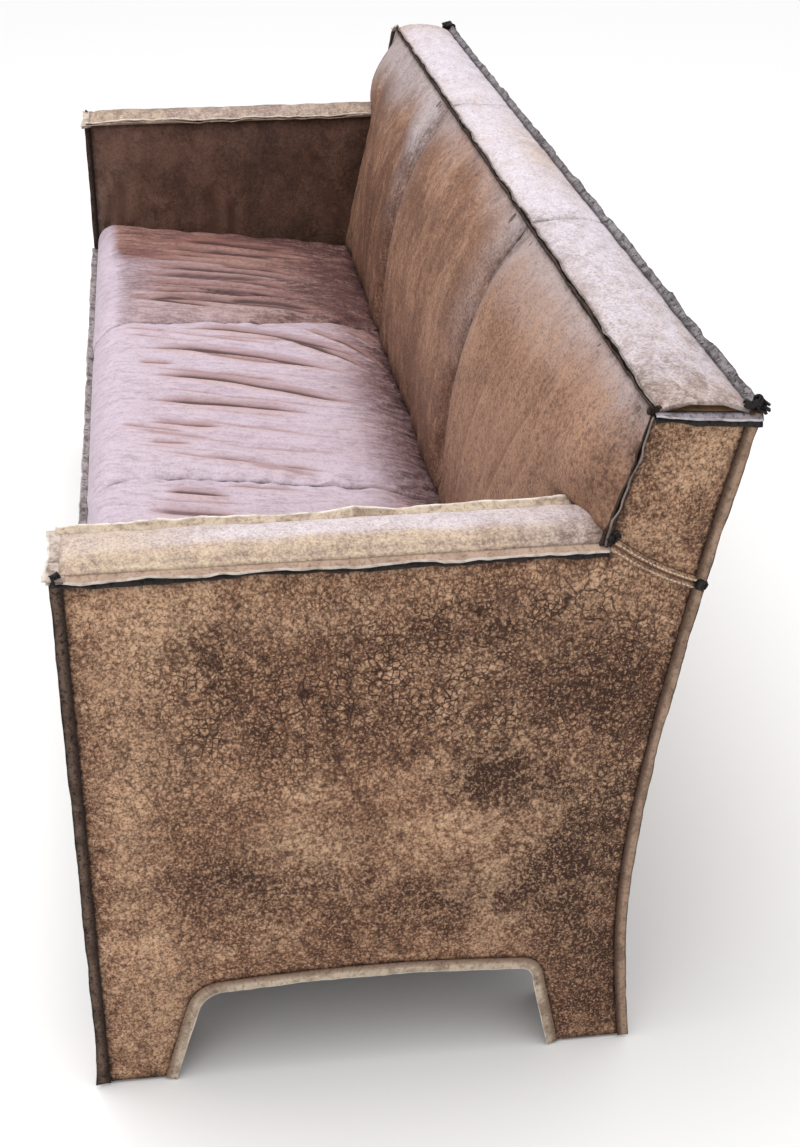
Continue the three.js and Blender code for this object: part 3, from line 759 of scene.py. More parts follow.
def fold_fields(a, b, folds, seed):
    """Height, darkness and paleness of folds over a surface: the darkness is painted shade in the valleys,
    with the darker creased leather there, and the paleness is painted highlight on the ridges. Each fold is
    (points, width, depth), with its points (a, b) in order of b, and it fades out at both ends."""
    height, dark, pale = np.zeros(a.shape), np.zeros(a.shape), np.zeros(a.shape)
    for k, (points, width, depth) in enumerate(folds):
        line = np.array(points, float)
        low, high = line[0, 1], line[-1, 1]
        curve = np.polynomial.Polynomial.fit(line[:, 1], line[:, 0], min(3, len(line) - 1))
        centre = curve(np.clip(b, low, high)) + 0.002 * rough(b, k, 0.05, seed + k, 3)
        along = (b - low) / (high - low)
        window = smooth(0.0, 0.3, along) * smooth(0.0, 0.35, 1.0 - along)
        across = (a - centre) / (width * (0.75 + 0.5 * window))
        valley = np.exp(-across ** 2)
        ridge = np.exp(-(across - 1.7) ** 2) + 0.6 * np.exp(-((across + 2.0) / 1.2) ** 2)
        height += window * depth * (0.55 * ridge - valley)
        strength = min(1.0, depth / 0.003)
        lines = np.exp(-(across * 1.3) ** 2) + 0.42 * np.exp(-((across + 1.2) / 2.2) ** 2)
        dark = np.maximum(dark, window * strength * np.minimum(lines, 1.0))
        pale = np.maximum(pale, window * strength * np.exp(-((across - 1.8) / 0.9) ** 2))
    return height, dark, pale


def scattered_folds(count, a_range, b_range, length, width, depth, lean, seed):
    """Folds strewn over a surface, each a slightly bowed line."""
    random = np.random.RandomState(seed)
    folds = []
    for _ in range(count):
        a = random.uniform(*a_range)
        size = random.uniform(*length)
        b = random.uniform(b_range[0], max(b_range[0] + 0.01, b_range[1] - size))
        tilt = lean * size + random.uniform(-0.06, 0.06) * size
        bow = random.uniform(-0.03, 0.03) * size
        folds.append((
            [(a, b), (a + tilt / 2 + bow, b + size / 2), (a + tilt, b + size)],
            random.uniform(*width),
            random.uniform(*depth),
        ))
    return folds


# ---------------------------------------------------------------- slack leather over the foam

CLOTH_FRAMES = 16
CLOTH_EVERY = 4              # the simulated copy keeps one grid line of the panel in this many
CLOTH_SETTINGS = {
    "quality": 5,
    "mass": 0.35,
    "tension_stiffness": 25.0,
    "compression_stiffness": 25.0,
    "shear_stiffness": 15.0,
    "bending_stiffness": 0.6,
    "vertex_group_mass": "rim",
    "shrink_min": -0.035,    # the leather is this much larger than the foam under it
    "use_pressure": True,
    "uniform_pressure_force": 2.5,
}


def grid_object(name, grid):
    mu, mv = grid.shape[:2]
    index = np.arange(mu * mv).reshape(mu, mv)
    quads = np.stack([index[:-1, :-1], index[1:, :-1], index[1:, 1:], index[:-1, 1:]], -1).reshape(-1, 4)
    piece = add_mesh(name, grid.reshape(-1, 3), quads.tolist(), {})
    rim = piece.vertex_groups.new(name="rim")
    rim.add(np.concatenate([index[0], index[-1], index[:, 0], index[:, -1]]).tolist(), 1.0, "REPLACE")
    return piece


def softened(values, reach):
    """Values on a grid, averaged over neighbours that far on each side."""
    kernel = np.hanning(2 * reach + 3)[1:-1]
    kernel = kernel / kernel.sum()

    def spread(row):
        return np.convolve(np.pad(row, reach, mode="edge"), kernel, "valid")

    for axis in (0, 1):
        values = np.apply_along_axis(spread, axis, values)
    return values


def slack(surface, most):
    """How far the slack leather of a panel stands off its foam, by a cloth simulation of a coarser
    copy that is held round its rim and blown up from behind."""
    nu, nv = surface.shape[:2]
    at_u, at_v = np.arange(0, nu, CLOTH_EVERY), np.arange(0, nv, CLOTH_EVERY)
    grid = surface[at_u][:, at_v]
    piece = grid_object("slack_copy", grid)
    cloth = piece.modifiers.new("slack", "CLOTH")
    for key, value in CLOTH_SETTINGS.items():
        setattr(cloth.settings, key, value)
    cloth.settings.effector_weights.gravity = 0.0
    cloth.point_cache.frame_start = 1
    cloth.point_cache.frame_end = CLOTH_FRAMES
    for number in range(1, CLOTH_FRAMES + 1):
        bpy.context.scene.frame_set(number)
    after = piece.evaluated_get(bpy.context.evaluated_depsgraph_get()).data
    moved = np.empty(len(after.vertices) * 3)
    after.vertices.foreach_get("co", moved)
    bpy.data.meshes.remove(piece.data)
    bpy.context.scene.frame_set(1)
    height = ((moved.reshape(grid.shape) - grid) * grid_normals(grid)).sum(-1)
    height = np.maximum(most * np.tanh(height / most), -0.3 * most)
    along_u = np.stack([np.interp(np.arange(nu), at_u, height[:, k]) for k in range(len(at_v))], 1)
    full = np.stack([np.interp(np.arange(nv), at_v, along_u[k]) for k in range(nu)], 0)
    return softened(full, CLOTH_EVERY // 2 + 1)


def with_slack(surface, most):
    stand_off = slack(surface, most)
    return surface + grid_normals(surface) * stand_off[..., None]


# ---------------------------------------------------------------- seat

# The two cross seams of the seat as points (x, y), and its longest folds as (points, width, depth).
RIGHT_SEAM = [
    (-0.245, -0.366), (-0.268, -0.335), (-0.300, -0.310), (-0.330, -0.20), (-0.352, -0.08), (-0.375, 0.03),
    (-0.388, 0.146),
]
LEFT_SEAM = [
    (0.392, -0.366), (0.368, -0.325), (0.345, -0.290), (0.333, -0.190), (0.331, -0.04), (0.336, 0.07),
    (0.350, 0.146),
]
FAR_FOLDS = [
    ([(-0.735, -0.28), (-0.725, -0.13), (-0.70, 0.03)], 0.011, 0.0040),
    ([(-0.665, -0.31), (-0.650, -0.14), (-0.62, 0.05)], 0.009, 0.0052),
    ([(-0.600, -0.30), (-0.600, -0.12), (-0.575, 0.08)], 0.010, 0.0050),
    ([(-0.550, -0.31), (-0.545, -0.13), (-0.540, 0.03)], 0.008, 0.0046),
    ([(-0.500, -0.29), (-0.505, -0.15), (-0.500, -0.01)], 0.007, 0.0044),
    ([(-0.455, -0.31), (-0.465, -0.16), (-0.475, 0.00)], 0.007, 0.0036),
    ([(-0.405, -0.31), (-0.425, -0.20), (-0.43, -0.06)], 0.006, 0.0034),
    ([(-0.80, -0.24), (-0.785, -0.10), (-0.76, 0.05)], 0.016, 0.0026),
]
MIDDLE_FOLDS = [
    ([(-0.255, -0.25), (-0.275, -0.12), (-0.235, 0.0), (-0.165, 0.135)], 0.0075, 0.0042),
    ([(-0.150, -0.32), (-0.165, -0.18), (-0.140, -0.05), (-0.085, 0.10)], 0.0075, 0.0042),
    ([(-0.090, -0.30), (-0.095, -0.22)], 0.005, 0.0020),
    ([(-0.025, -0.31), (-0.030, -0.15), (0.000, -0.05), (0.035, 0.10)], 0.0075, 0.0038),
    ([(0.070, -0.30), (0.075, -0.15), (0.085, 0.01)], 0.007, 0.0028),
    ([(0.160, -0.29), (0.163, -0.22), (0.162, -0.15)], 0.0045, 0.0034),
    ([(0.235, -0.29), (0.230, -0.20)], 0.005, 0.0018),
    ([(-0.320, 0.06), (-0.285, 0.11), (-0.225, 0.145)], 0.006, 0.0036),
    ([(-0.290, 0.03), (-0.220, 0.09), (-0.140, 0.144)], 0.006, 0.0034),
    ([(-0.345, 0.09), (-0.300, 0.125), (-0.262, 0.146)], 0.005, 0.0034),
    ([(-0.320, -0.01), (-0.260, 0.05), (-0.185, 0.11)], 0.006, 0.0030),
    ([(-0.250, -0.06), (-0.195, 0.03), (-0.110, 0.115)], 0.007, 0.0028),
]
NEAR_FOLDS = [
    ([(0.405, -0.27), (0.410, -0.15)], 0.006, 0.0026),
    ([(0.470, -0.30), (0.478, -0.12)], 0.008, 0.0022),
    ([(0.372, -0.20), (0.372, -0.03)], 0.004, 0.0022),
    ([(0.300, -0.21), (0.303, -0.02)], 0.004, 0.0018),
]


def through(points, value):
    """A smooth line through points (a, b), read at b."""
    line = np.array(points, float)
    fine = np.linspace(line[0, 1], line[-1, 1], 400)
    raw = np.interp(fine, line[:, 1], line[:, 0])
    kernel = np.hanning(61) / np.hanning(61).sum()
    rounded = np.convolve(np.pad(raw, 30, mode="edge"), kernel, mode="valid")
    return np.interp(value, fine, rounded)


TUCK_X = END_X - 0.097       # the line beside each arm where the seat's leather turns down


def seat_profile():
    """Points (y, z) over the seat: up from the front seam, round the roll, back, and into the crease."""
    tilt = math.atan(SEAT_SLOPE)
    centre_y = FRONT_Y + SEAT_ROLL
    centre_z = SEAT_REAR_Z + (SEAT_REAR_Y - centre_y) * SEAT_SLOPE - SEAT_ROLL / math.cos(tilt)
    angles = np.linspace(math.pi, math.pi / 2 - tilt, 14)
    roll = [(centre_y + SEAT_ROLL * math.cos(a), centre_z + SEAT_ROLL * math.sin(a)) for a in angles]
    tuck = [(SEAT_REAR_Y + 0.006, SEAT_REAR_Z - 0.001), (SEAT_REAR_Y + 0.014, SEAT_REAR_Z - 0.016)]
    return [(FRONT_Y, SEAT_SEAM_Z), *roll, *tuck]


def seat_panel(label, left_line, right_line, folds, seed, material):
    """One panel of the seat between two lines x(y), with its crown, its folds and its sunk seams."""
    path, along = resampled(seat_profile(), SEAT_STEP / 4)
    nv = steps(along[-1], SEAT_STEP) + 1
    width = float(right_line(0.0) - left_line(0.0))
    nu = steps(width, SEAT_STEP) + 1
    run = np.linspace(0.0, along[-1], nv)
    y = np.interp(run, along, path[:, 0])[None, :]
    z = np.interp(run, along, path[:, 1])[None, :]
    share = toward_ends(nu, SEAM_PULL)[:, None]
    x = left_line(y) + (right_line(y) - left_line(y)) * share
    y, z = np.broadcast_to(y, x.shape), np.broadcast_to(z, x.shape)
    flat = np.stack([x, y, z], -1)
    normal = grid_normals(flat)

    from_arm = TUCK_X - np.abs(x)
    over = smooth(0.0, 0.11, run)[None, :] * smooth(0.0, 0.13, run[-1] - run)[None, :]
    crown = SEAT_CROWN * over * (1.0 - np.clip(np.abs(x) / INNER_X, 0, 1) ** 4)
    to_seam = np.minimum(*(
        np.abs(x - line(y)) if seamed else np.full(x.shape, FAR_OFF)
        for line, seamed in ((left_line, label != "right"), (right_line, label != "left"))
    ))
    valley = 0.0045 * bell(to_seam, 0.006) + 0.0035 * bell(to_seam, 0.045)
    height, dark, pale = fold_fields(x, y, folds, seed)
    flow = smooth(0.02, 0.10, run)[None, :]
    broad = 0.0016 * rough(x * 2.2, y, 0.16, seed + 3) + 0.0007 * rough(x * 3.0, y, 0.045, seed + 4)
    edge_drop = 0.012 * (1.0 - smooth(0.0, 0.022, from_arm)) + 0.006 * (1.0 - smooth(0.0, 0.05, from_arm))
    lift = crown - valley + height * flow + broad * flow - edge_drop
    surface = with_slack(flat + normal * lift[..., None], SEAT_SLACK)

    # Dark along the seams, and where the seat turns down beside each arm and into the crease at its rear:
    # painted shade at the arms and the crease.
    seam = np.maximum(bell(to_seam, 0.0035), 1.0 - smooth(0.0, 0.012, from_arm))
    seam = np.maximum(seam, 1.0 - smooth(0.012, 0.050, run[-1] - run)[None, :])
    seam = np.maximum(seam, (1.0 - smooth(0.0, 0.004, run))[None, :])
    # Painted sheen, the reflection of the bright surround: full over most of the seat, less towards the rear
    # crease, by the far arm and over the rear of the far panel (painted shade), and more on fold ridges
    # (painted highlight).
    rear_shade = 0.80 * smooth(-0.02, 0.15, y)
    far_shade = 1.2 * smooth(-0.60, -0.74, x) * smooth(-0.345, -0.31, y)
    patchy = 0.5 + 0.5 * rough(x * 3.0, y, 0.22, seed + 9, 4)
    bloom = 1.12 - rear_shade - far_shade - 0.32 * patchy * smooth(-0.32, -0.27, y)
    far_panel_shade = smooth(-0.338, -0.302, y) * (1.0 if label == "right" else 0.0)
    bloom = bloom - far_panel_shade * (0.52 + 0.30 * smooth(-0.20, 0.0, y)) + 0.45 * pale
    # Darker towards the rear crease, beside the far arm and over the rear of the far panel: painted shade.
    stain = 0.90 * smooth(0.03, 0.14, y) + 0.35 * smooth(-0.70, -0.86, x) * patchy
    stain = stain + far_panel_shade * (0.32 + 0.45 * smooth(-0.17, 0.02, y)) * (0.5 + patchy)
    fields = {
        "bloom": np.clip(bloom, 0.0, 1.0), "stain": np.clip(stain, 0.0, 1.0), "fold": dark,
        "ridge": np.clip(pale * 0.8, 0, 1), "edge": np.clip(seam, 0, 1),
    }
    piece = shell(f"seat_panel_{label}", surface, SEAT_DEPTH, fields)
    nodes = [f"seat_panel_{label}"] + (["seat_foam"] if label == "middle" else [])
    finished(piece, material, nodes)


def seat(material):
    """The three panels of the seat. The far one is the most creased."""
    inner = INNER_X - ALLOWANCE

    def right_seam(y):
        return through(RIGHT_SEAM, y)

    def left_seam(y):
        return through(LEFT_SEAM, y)

    def right_end(y):
        return np.full(np.shape(y), -inner)

    def left_end(y):
        return np.full(np.shape(y), inner)

    wide, fine = (0.0038, 0.0070), (0.0036, 0.0052)
    panels = [
        ("right", right_end, right_seam, 100, FAR_FOLDS,
         (44, (-0.82, -0.36), (-0.34, 0.10), (0.16, 0.38), wide, (0.0012, 0.0032), 0.05, 41)),
        ("middle", right_seam, left_seam, 200, MIDDLE_FOLDS,
         (30, (-0.27, 0.30), (-0.34, 0.08), (0.10, 0.30), fine, (0.0007, 0.0018), 0.12, 42)),
        ("left", left_seam, left_end, 300, NEAR_FOLDS,
         (16, (0.38, 0.86), (-0.33, 0.08), (0.08, 0.24), fine, (0.0006, 0.0015), 0.04, 43)),
    ]
    for label, left_line, right_line, seed, long_folds, strewn in panels:
        seat_panel(label, left_line, right_line, long_folds + scattered_folds(*strewn), seed, material)


# ---------------------------------------------------------------- back

def back_panel(label, folds, seed, material):
    """One panel of the back's front face. The outer ones widen over the arms to the wings."""
    side = {"right": -1, "middle": 0, "left": 1}[label]
    low_z, high_z = CREASE_Z - 0.022, CAP_Z + 0.001
    nv = steps(high_z - low_z, BACK_STEP) + 1
    span = 2 * SEAM_X if side == 0 else END_X - SEAM_X
    nu = steps(span, BACK_STEP) + 1
    z = np.linspace(low_z, high_z, nv)[None, :]
    share = toward_ends(nu, SEAM_PULL)[:, None]
    arm_x = INNER_X + 0.004 + (END_X - INNER_X - 0.004) * smooth(ARM_EDGE_Z - 0.004, ARM_EDGE_Z + 0.012, z)
    outer = arm_x if side else np.full(z.shape, SEAM_X)
    inner = np.full(z.shape, SEAM_X if side else -SEAM_X)
    lowest = outer[:, :1]
    x = inner + (lowest - inner) * share + (outer - lowest) * share ** 7
    z = np.broadcast_to(z, x.shape)
    depth = back_face(x, z)

    to_seam = np.abs(np.abs(x) - SEAM_X)
    to_wing = outer - x if side else np.full(x.shape, FAR_OFF)
    from_low = z - low_z
    from_top = high_z - z
    from_seams = smooth(0.0, 0.07, to_seam + 0.05 * (1 - smooth(0.43, 0.52, z)))
    puff = BACK_PUFF * from_seams * smooth(0.0, 0.075, from_top + 0.004) * smooth(0.0, 0.06, to_wing)
    over_arm = 0.0
    if side:
        over_arm = 0.010 * smooth(0.0, 0.03, to_wing) * bell(z - 0.745, 0.05) * smooth(0.80, 0.92, x)
    valley = 0.0045 * bell(to_seam, 0.005)
    roll_in = 0.014 * (1.0 - smooth(0.0, 0.034, from_low))
    height, dark, pale = fold_fields(x, z, folds, seed)
    broad = 0.0016 * rough(x, z * 0.5, 0.11, seed + 3) + 0.0005 * rough(x, z * 0.4, 0.03, seed + 4)
    forward = puff + over_arm - valley - roll_in + height + broad * smooth(0.0, 0.03, to_wing)
    surface = with_slack(np.stack([x, depth - forward, z + 0.25 * forward], -1), BACK_SLACK)

    # Painted sheen, the reflection of the bright surround, over the upper back, starting at a different
    # height on each panel, and more beside the seams.
    sheen_low = {"left": 0.768, "middle": 0.797, "right": 0.745}[label]
    upper = smooth(sheen_low, sheen_low + 0.085, z + 0.040 * rough(x, z, 0.13, seed + 6, 4))
    beside = 0.30 * bell(to_seam - 0.03, 0.040) * smooth(0.60, 0.72, z)
    # Dark along the seams, the wing and the top, and over the lowest few centimetres: painted shade in the
    # crease with the seat.
    edge = np.maximum(bell(to_seam, 0.0026), 1.0 - smooth(0.012, 0.055, from_low))
    edge = np.maximum(edge, 1.0 - smooth(0.0, 0.007, to_wing))
    edge = np.maximum(edge, 1.0 - smooth(0.0, 0.006, from_top))
    patchy = 0.5 + 0.5 * rough(x, z * 0.5, 0.09, seed + 12, 4)
    bloom = np.clip(0.92 * upper + beside + 0.03 * patchy, 0.0, 1.0)
    # Darker low on the back, in a band beside each seam and in the corner by the inner arm: painted shade;
    # and a darker band beside the wing above the arm.
    stain = 0.45 * (1.0 - smooth(0.44, 0.52, z)) + (0.55 if side else 0.275) * bell(to_seam - 0.012, 0.028)
    if side:
        stain = stain + 0.35 * (1.0 - smooth(0.0, 0.07, INNER_X - x)) * (1.0 - smooth(0.66, 0.72, z))
        stain = stain + 0.45 * bell(to_wing - 0.03, 0.03) * smooth(0.72, 0.76, z)
    # Painted light: the lower middle of each panel is paler, fully on the near panel, a quarter as much on
    # the middle one and not at all on the far one.
    lit = {"left": 1.0, "middle": 0.25, "right": 0.0}[label]
    rubbed = smooth(0.46, 0.60, z) * (1 - smooth(0.80, 0.86, z)) * (0.3 + patchy) * smooth(0.0, 0.06, to_seam)
    fields = {
        "bloom": bloom, "stain": np.clip(stain, 0.0, 1.0), "fold": dark * 0.5 * (1.0 - smooth(0.74, 0.79, z)),
        "ridge": np.clip(pale + lit * rubbed, 0, 1), "edge": edge,
    }
    piece = shell(f"back_panel_{label}", surface, LEATHER, fields, -1 if side < 0 else 1)
    nodes = [f"back_panel_{label}"] + (["back_foam"] if label == "middle" else [])
    finished(piece, material, nodes)


def back(material):
    """The three panels of the back's front face."""
    drawn = [
        ([(0.66, 0.56), (0.70, 0.66), (0.765, 0.77)], 0.0065, 0.0020),
        ([(0.74, 0.60), (0.775, 0.68), (0.81, 0.75)], 0.006, 0.0016),
        ([(0.50, 0.50), (0.52, 0.62), (0.56, 0.74)], 0.008, 0.0018),
    ]
    width = (0.006, 0.011)
    panels = [
        ("left", 400, drawn,
         (16, (0.40, 0.86), (0.46, 0.80), (0.07, 0.2), width, (0.0005, 0.0014), 0.25, 51)),
        ("middle", 500, [],
         (14, (-0.28, 0.28), (0.46, 0.82), (0.08, 0.22), width, (0.0005, 0.0013), 0.12, 52)),
        ("right", 600, [],
         (12, (0.40, 0.88), (0.46, 0.80), (0.07, 0.2), width, (0.0005, 0.0014), 0.1, 53)),
    ]
    for label, seed, long_folds, strewn in panels:
        back_panel(label, long_folds + scattered_folds(*strewn), seed, material)


# ---------------------------------------------------------------- top of the back

def cap_profile():
    """Points (y, z) over the back's top, from its front seam to its rear seam, slightly crowned."""
    front = (CAP_FRONT_Y + 0.001, CAP_Z + 0.0006)
    rear = (float(rear_y(REAR_TOP_Z)) + 0.004, CAP_Z - 0.007)
    share = np.linspace(0.0, 1.0, 21)
    crown = 0.0108 * (1.0 - np.abs(2 * share - 1) ** 2.4)
    y = front[0] + (rear[0] - front[0]) * share
    z = front[1] + (rear[1] - front[1]) * share + crown
    return np.stack([y, z], 1)


def back_top_panel(label, x0, x1, seed, material):
    """One panel of the back's top. Its cross seams sink in, except at the front and rear seams."""
    path, along = resampled(cap_profile(), 0.001)
    nv = steps(along[-1], TOP_STEP) + 1
    nu = steps(x1 - x0, TOP_STEP) + 1
    run = np.linspace(0.0, along[-1], nv)
    x = np.broadcast_to((x0 + (x1 - x0) * toward_ends(nu, SEAM_PULL))[:, None], (nu, nv))
    y = np.broadcast_to(np.interp(run, along, path[:, 0])[None, :], (nu, nv))
    z = np.broadcast_to(np.interp(run, along, path[:, 1])[None, :], (nu, nv))
    seams = np.minimum(np.abs(x - SEAM_X - 0.004 * np.sin(30 * y)), np.abs(x + SEAM_X))
    width, depth = (0.0025, 0.005), (0.0003, 0.0009)
    folds = scattered_folds(16, (y.min(), y.max()), (x0, x1), (0.02, 0.06), width, depth, 0.9, seed)
    height, dark, pale = fold_fields(y, x, folds, seed)
    free = (1.0 - np.abs(2 * run[None, :] / run[-1] - 1) ** 2.4) ** 1.6
    sunk = 0.0062 * bell(seams, 0.0065) + 0.0030 * bell(seams, 0.035)
    lift = height - free * sunk + 0.0011 * rough(x, y, 0.07, seed + 1) * (1.0 - bell(seams, 0.01))
    surface = with_slack(np.stack([x, y, z + lift], -1), TOP_SLACK)
    edge = np.maximum(bell(seams, 0.0042), 0.75 * (1.0 - smooth(0.0, 0.008, run))[None, :])
    edge = np.maximum(edge, 0.8 * (1.0 - smooth(0.0, 0.010, run[-1] - run))[None, :])
    across = run[None, :] / run[-1]
    cream = bell(x + 0.02, 0.18) * smooth(0.35, 0.8, across)
    # Painted sheen, the reflection of the bright surround, over the back's top, less over its cream middle,
    # at its ends and at its front edge.
    bloom = 1.0 - 0.55 * cream - 0.5 * smooth(0.90, 1.0, np.abs(x)) - 0.25 * (1 - smooth(0.0, 0.25, across))
    bloom = bloom + 0.10 * rough(x, y * 2, 0.12, seed + 2)
    stain = 1.05 * smooth(0.25, 0.95, x) * (0.45 + 0.55 * rough(x, y * 2.0, 0.12, seed + 8, 4))
    stain = stain + 0.3 * bell(seams - 0.015, 0.02) * (1 - across)
    fields = {
        "bloom": np.clip(bloom, 0, 1), "stain": np.clip(stain, 0, 1), "fold": dark * 0.5, "ridge": pale * 0.5,
        "edge": np.broadcast_to(np.clip(edge, 0, 1), (nu, nv)),
    }
    piece = shell(f"back_top_panel_{label}", surface, LEATHER, fields)
    finished(piece, material, [f"back_top_panel_{label}"])


# ---------------------------------------------------------------- arms

FAR_ARM_WEAR = 0.60          # how much darker the far arm's top is, and how much less of the painted sheen it has


def arm_top(label, side, seed, material):
    """The leather over one arm, crowned across, from the front seam to under the back's leather."""
    y0, y1 = FRONT_Y, ARM_REAR_Y + 0.028
    nu = steps(END_X - INNER_X, TOP_STEP) + 1
    nv = steps(y1 - y0, TOP_STEP) + 1
    across = np.linspace(0.0, 1.0, nu)[:, None]
    y = np.broadcast_to(np.linspace(y0, y1, nv)[None, :], (nu, nv))
    x = np.broadcast_to(INNER_X + (END_X - INNER_X) * across, (nu, nv))
    crown = 0.0100 * (1.0 - np.abs(2 * across - 1) ** 2.4) * smooth(-0.012, 0.03, y - y0)
    dip = 0.0016 * bell(x - (END_X - 0.011), 0.0022) + 0.0014 * bell(x - (INNER_X + 0.006), 0.0022)
    spread_x, spread_y = (INNER_X + 0.01, END_X - 0.03), (y0 + 0.02, y1 - 0.1)
    width, depth = (0.002, 0.0035), (0.0004, 0.0010)
    folds = scattered_folds(10, spread_x, spread_y, (0.02, 0.07), width, depth, 0.5, seed)
    height, dark, _ = fold_fields(x, y, folds, seed)
    lift = crown + height - dip + 0.0009 * rough(x * 1.5, y, 0.06, seed + 1)
    surface = with_slack(np.stack([x, y, ARM_SEAM_Z + lift], -1), TOP_SLACK)
    outer_band = smooth(0.52, 0.80, across + 0.06 * rough(x, y, 0.05, seed + 2, 4))
    front_band = 1.0 - smooth(0.05, 0.20, y - y0)
    cream = np.maximum(outer_band, front_band * 0.5) * (1.0 - 0.75 * smooth(0.05, 0.20, y))
    red_line = 0.75 * bell(x - (END_X - 0.011), 0.0035) * (0.6 + 0.4 * rough(x, y, 0.05, seed + 5))
    at_inner_seam = 0.55 * (1.0 - smooth(0.0, 0.0035, x - INNER_X))
    # Dark at the inner seam, and over the rear end that runs under the back's leather: painted shade under
    # the back there.
    edge = np.maximum(at_inner_seam, 1.0 - smooth(0.0, 0.02, y1 - 0.012 - y))
    worn = FAR_ARM_WEAR if side < 0 else 0.0
    # Painted sheen, the reflection of the bright surround, over the arm's top, less over the cream band and
    # the rear, much less on the far arm.
    bloom = 0.78 - 0.95 * cream - 0.2 * smooth(0.05, 0.2, y) - worn
    ridge = 0.8 * cream * (1.0 - worn) * (1 - red_line)
    grubby = 0.40 * smooth(0.10, 0.21, y) * across
    grubby = grubby + 0.45 * outer_band * (0.5 + 0.5 * rough(x, y, 0.03, seed + 7, 4))
    fields = {
        "bloom": np.clip(bloom, 0, 1), "stain": np.clip(worn + red_line + grubby, 0, 1), "fold": dark * 0.8,
        "ridge": np.clip(ridge, 0, 1), "edge": np.clip(edge, 0, 1),
    }
    piece = shell(f"arm_top_panel_{label}", surface, LEATHER, fields, side)
    finished(piece, material, [f"arm_top_panel_{label}", f"arm_pad_{label}"])


def inner_arm(label, side, seed, material):
    """The leather between the seat and the arm top, drawn in folds towards its lower corners."""
    low_z, high_z = SEAT_REAR_Z - 0.03, ARM_EDGE_Z + 0.001
    nv = steps(high_z - low_z, INNER_ARM_STEP) + 1
    nu = steps(0.58, INNER_ARM_STEP) + 1
    z = np.linspace(low_z, high_z, nv)[None, :]
    rear = back_face(np.array(INNER_X), z) + 0.006
    share = np.linspace(1.0, 0.0, nu)[:, None]
    y = FRONT_Y + (rear - FRONT_Y) * share
    z = np.broadcast_to(z, y.shape)
    drawn = [
        ([(0.165, 0.43), (0.13, 0.50), (0.09, 0.58), (0.055, 0.67)], 0.012, 0.0052),
        ([(0.150, 0.43), (0.115, 0.50), (0.085, 0.56)], 0.008, 0.0040),
        ([(-0.350, 0.47), (-0.335, 0.52), (-0.325, 0.57)], 0.010, 0.0048),
        ([(-0.325, 0.47), (-0.312, 0.54), (-0.308, 0.60)], 0.010, 0.0040),
        ([(-0.130, 0.43), (-0.128, 0.50), (-0.14, 0.60)], 0.011, 0.0036),
        ([(-0.095, 0.43), (-0.092, 0.49), (-0.095, 0.56)], 0.008, 0.0030),
    ]
    width, depth = (0.008, 0.016), (0.0008, 0.0016)
    folds = drawn + scattered_folds(8, (-0.33, 0.10), (0.47, 0.66), (0.05, 0.15), width, depth, 0.0, seed)
    height, dark, pale = fold_fields(y, z, folds, seed)
    to_edge = np.minimum(np.minimum(y - FRONT_Y, rear - y), high_z - z)
    puff = 0.005 * smooth(0.0, 0.06, to_edge) + 0.0018 * rough(y, z, 0.12, seed + 1)
    surface = np.stack([INNER_X - (puff + height) * smooth(0.0, 0.015, to_edge), y, z], -1)
    patchy = 0.5 + 0.5 * rough(y, z, 0.10, seed + 2, 4)
    rubbed = bell(y + 0.355, 0.02) * (1 - smooth(0.5, 0.6, z))
    fields = {
        "bloom": np.clip(0.12 * patchy + 0.35 * rubbed, 0, 1), "stain": 0.45 * (1 - patchy),
        "fold": dark * 0.5, "ridge": np.clip(0.8 * pale + 0.15 * patchy, 0, 1),
        "edge": 1.0 - smooth(0.0, 0.012, to_edge),
    }
    piece = shell(f"inner_arm_panel_{label}", surface, LEATHER, fields, side)
    finished(piece, material, [f"inner_arm_panel_{label}"])


# ---------------------------------------------------------------- ends

SIDE_PATCHES = [      # (y, z, spread along y, spread along z, strength) of the dark patches on an end
    (0.102, 0.410, 0.052, 0.038, 2.20),
    (-0.205, 0.295, 0.095, 0.034, 1.00),
    (-0.215, 0.600, 0.045, 0.040, 0.80),
    (0.040, 0.600, 0.100, 0.045, 0.75),
    (0.190, 0.530, 0.090, 0.060, 0.70),
    (0.245, 0.505, 0.030, 0.090, 0.50),
    (0.010, 0.500, 0.160, 0.050, 0.40),
    (0.214, 0.301, 0.065, 0.120, 1.45),
    (0.230, 0.090, 0.050, 0.100, 0.95),
    (-0.010, 0.245, 0.180, 0.050, 0.55),
    (0.100, 0.250, 0.080, 0.060, 0.45),
]
SIDE_LIGHTS = [
    (-0.300, 0.590, 0.050, 0.120, 0.60),
    (-0.120, 0.630, 0.120, 0.025, 0.50),
    (-0.110, 0.335, 0.060, 0.035, 0.85),
    (0.200, 0.630, 0.080, 0.035, 0.65),
    (-0.290, 0.130, 0.040, 0.110, 0.65),
    (-0.310, 0.370, 0.025, 0.090, 0.60),
    (0.110, 0.560, 0.090, 0.030, 0.35),
    (-0.270, 0.450, 0.060, 0.060, 0.30),
]
SIDE_WEB = [          # where the finish has dried into a web of cracks
    (0.120, 0.560, 0.180, 0.100, 1.00),
    (-0.180, 0.520, 0.150, 0.100, 0.60),
    (0.240, 0.350, 0.060, 0.120, 0.50),
    (-0.240, 0.230, 0.100, 0.080, 0.40),
]
WING_LIGHTS = [(0.320, 0.800, 0.05, 0.05, 0.8), (0.250, 0.705, 0.03, 0.03, 0.6)]
WING_PATCHES = [(0.262, 0.775, 0.012, 0.06, 0.5), (0.335, 0.700, 0.04, 0.03, 0.5)]


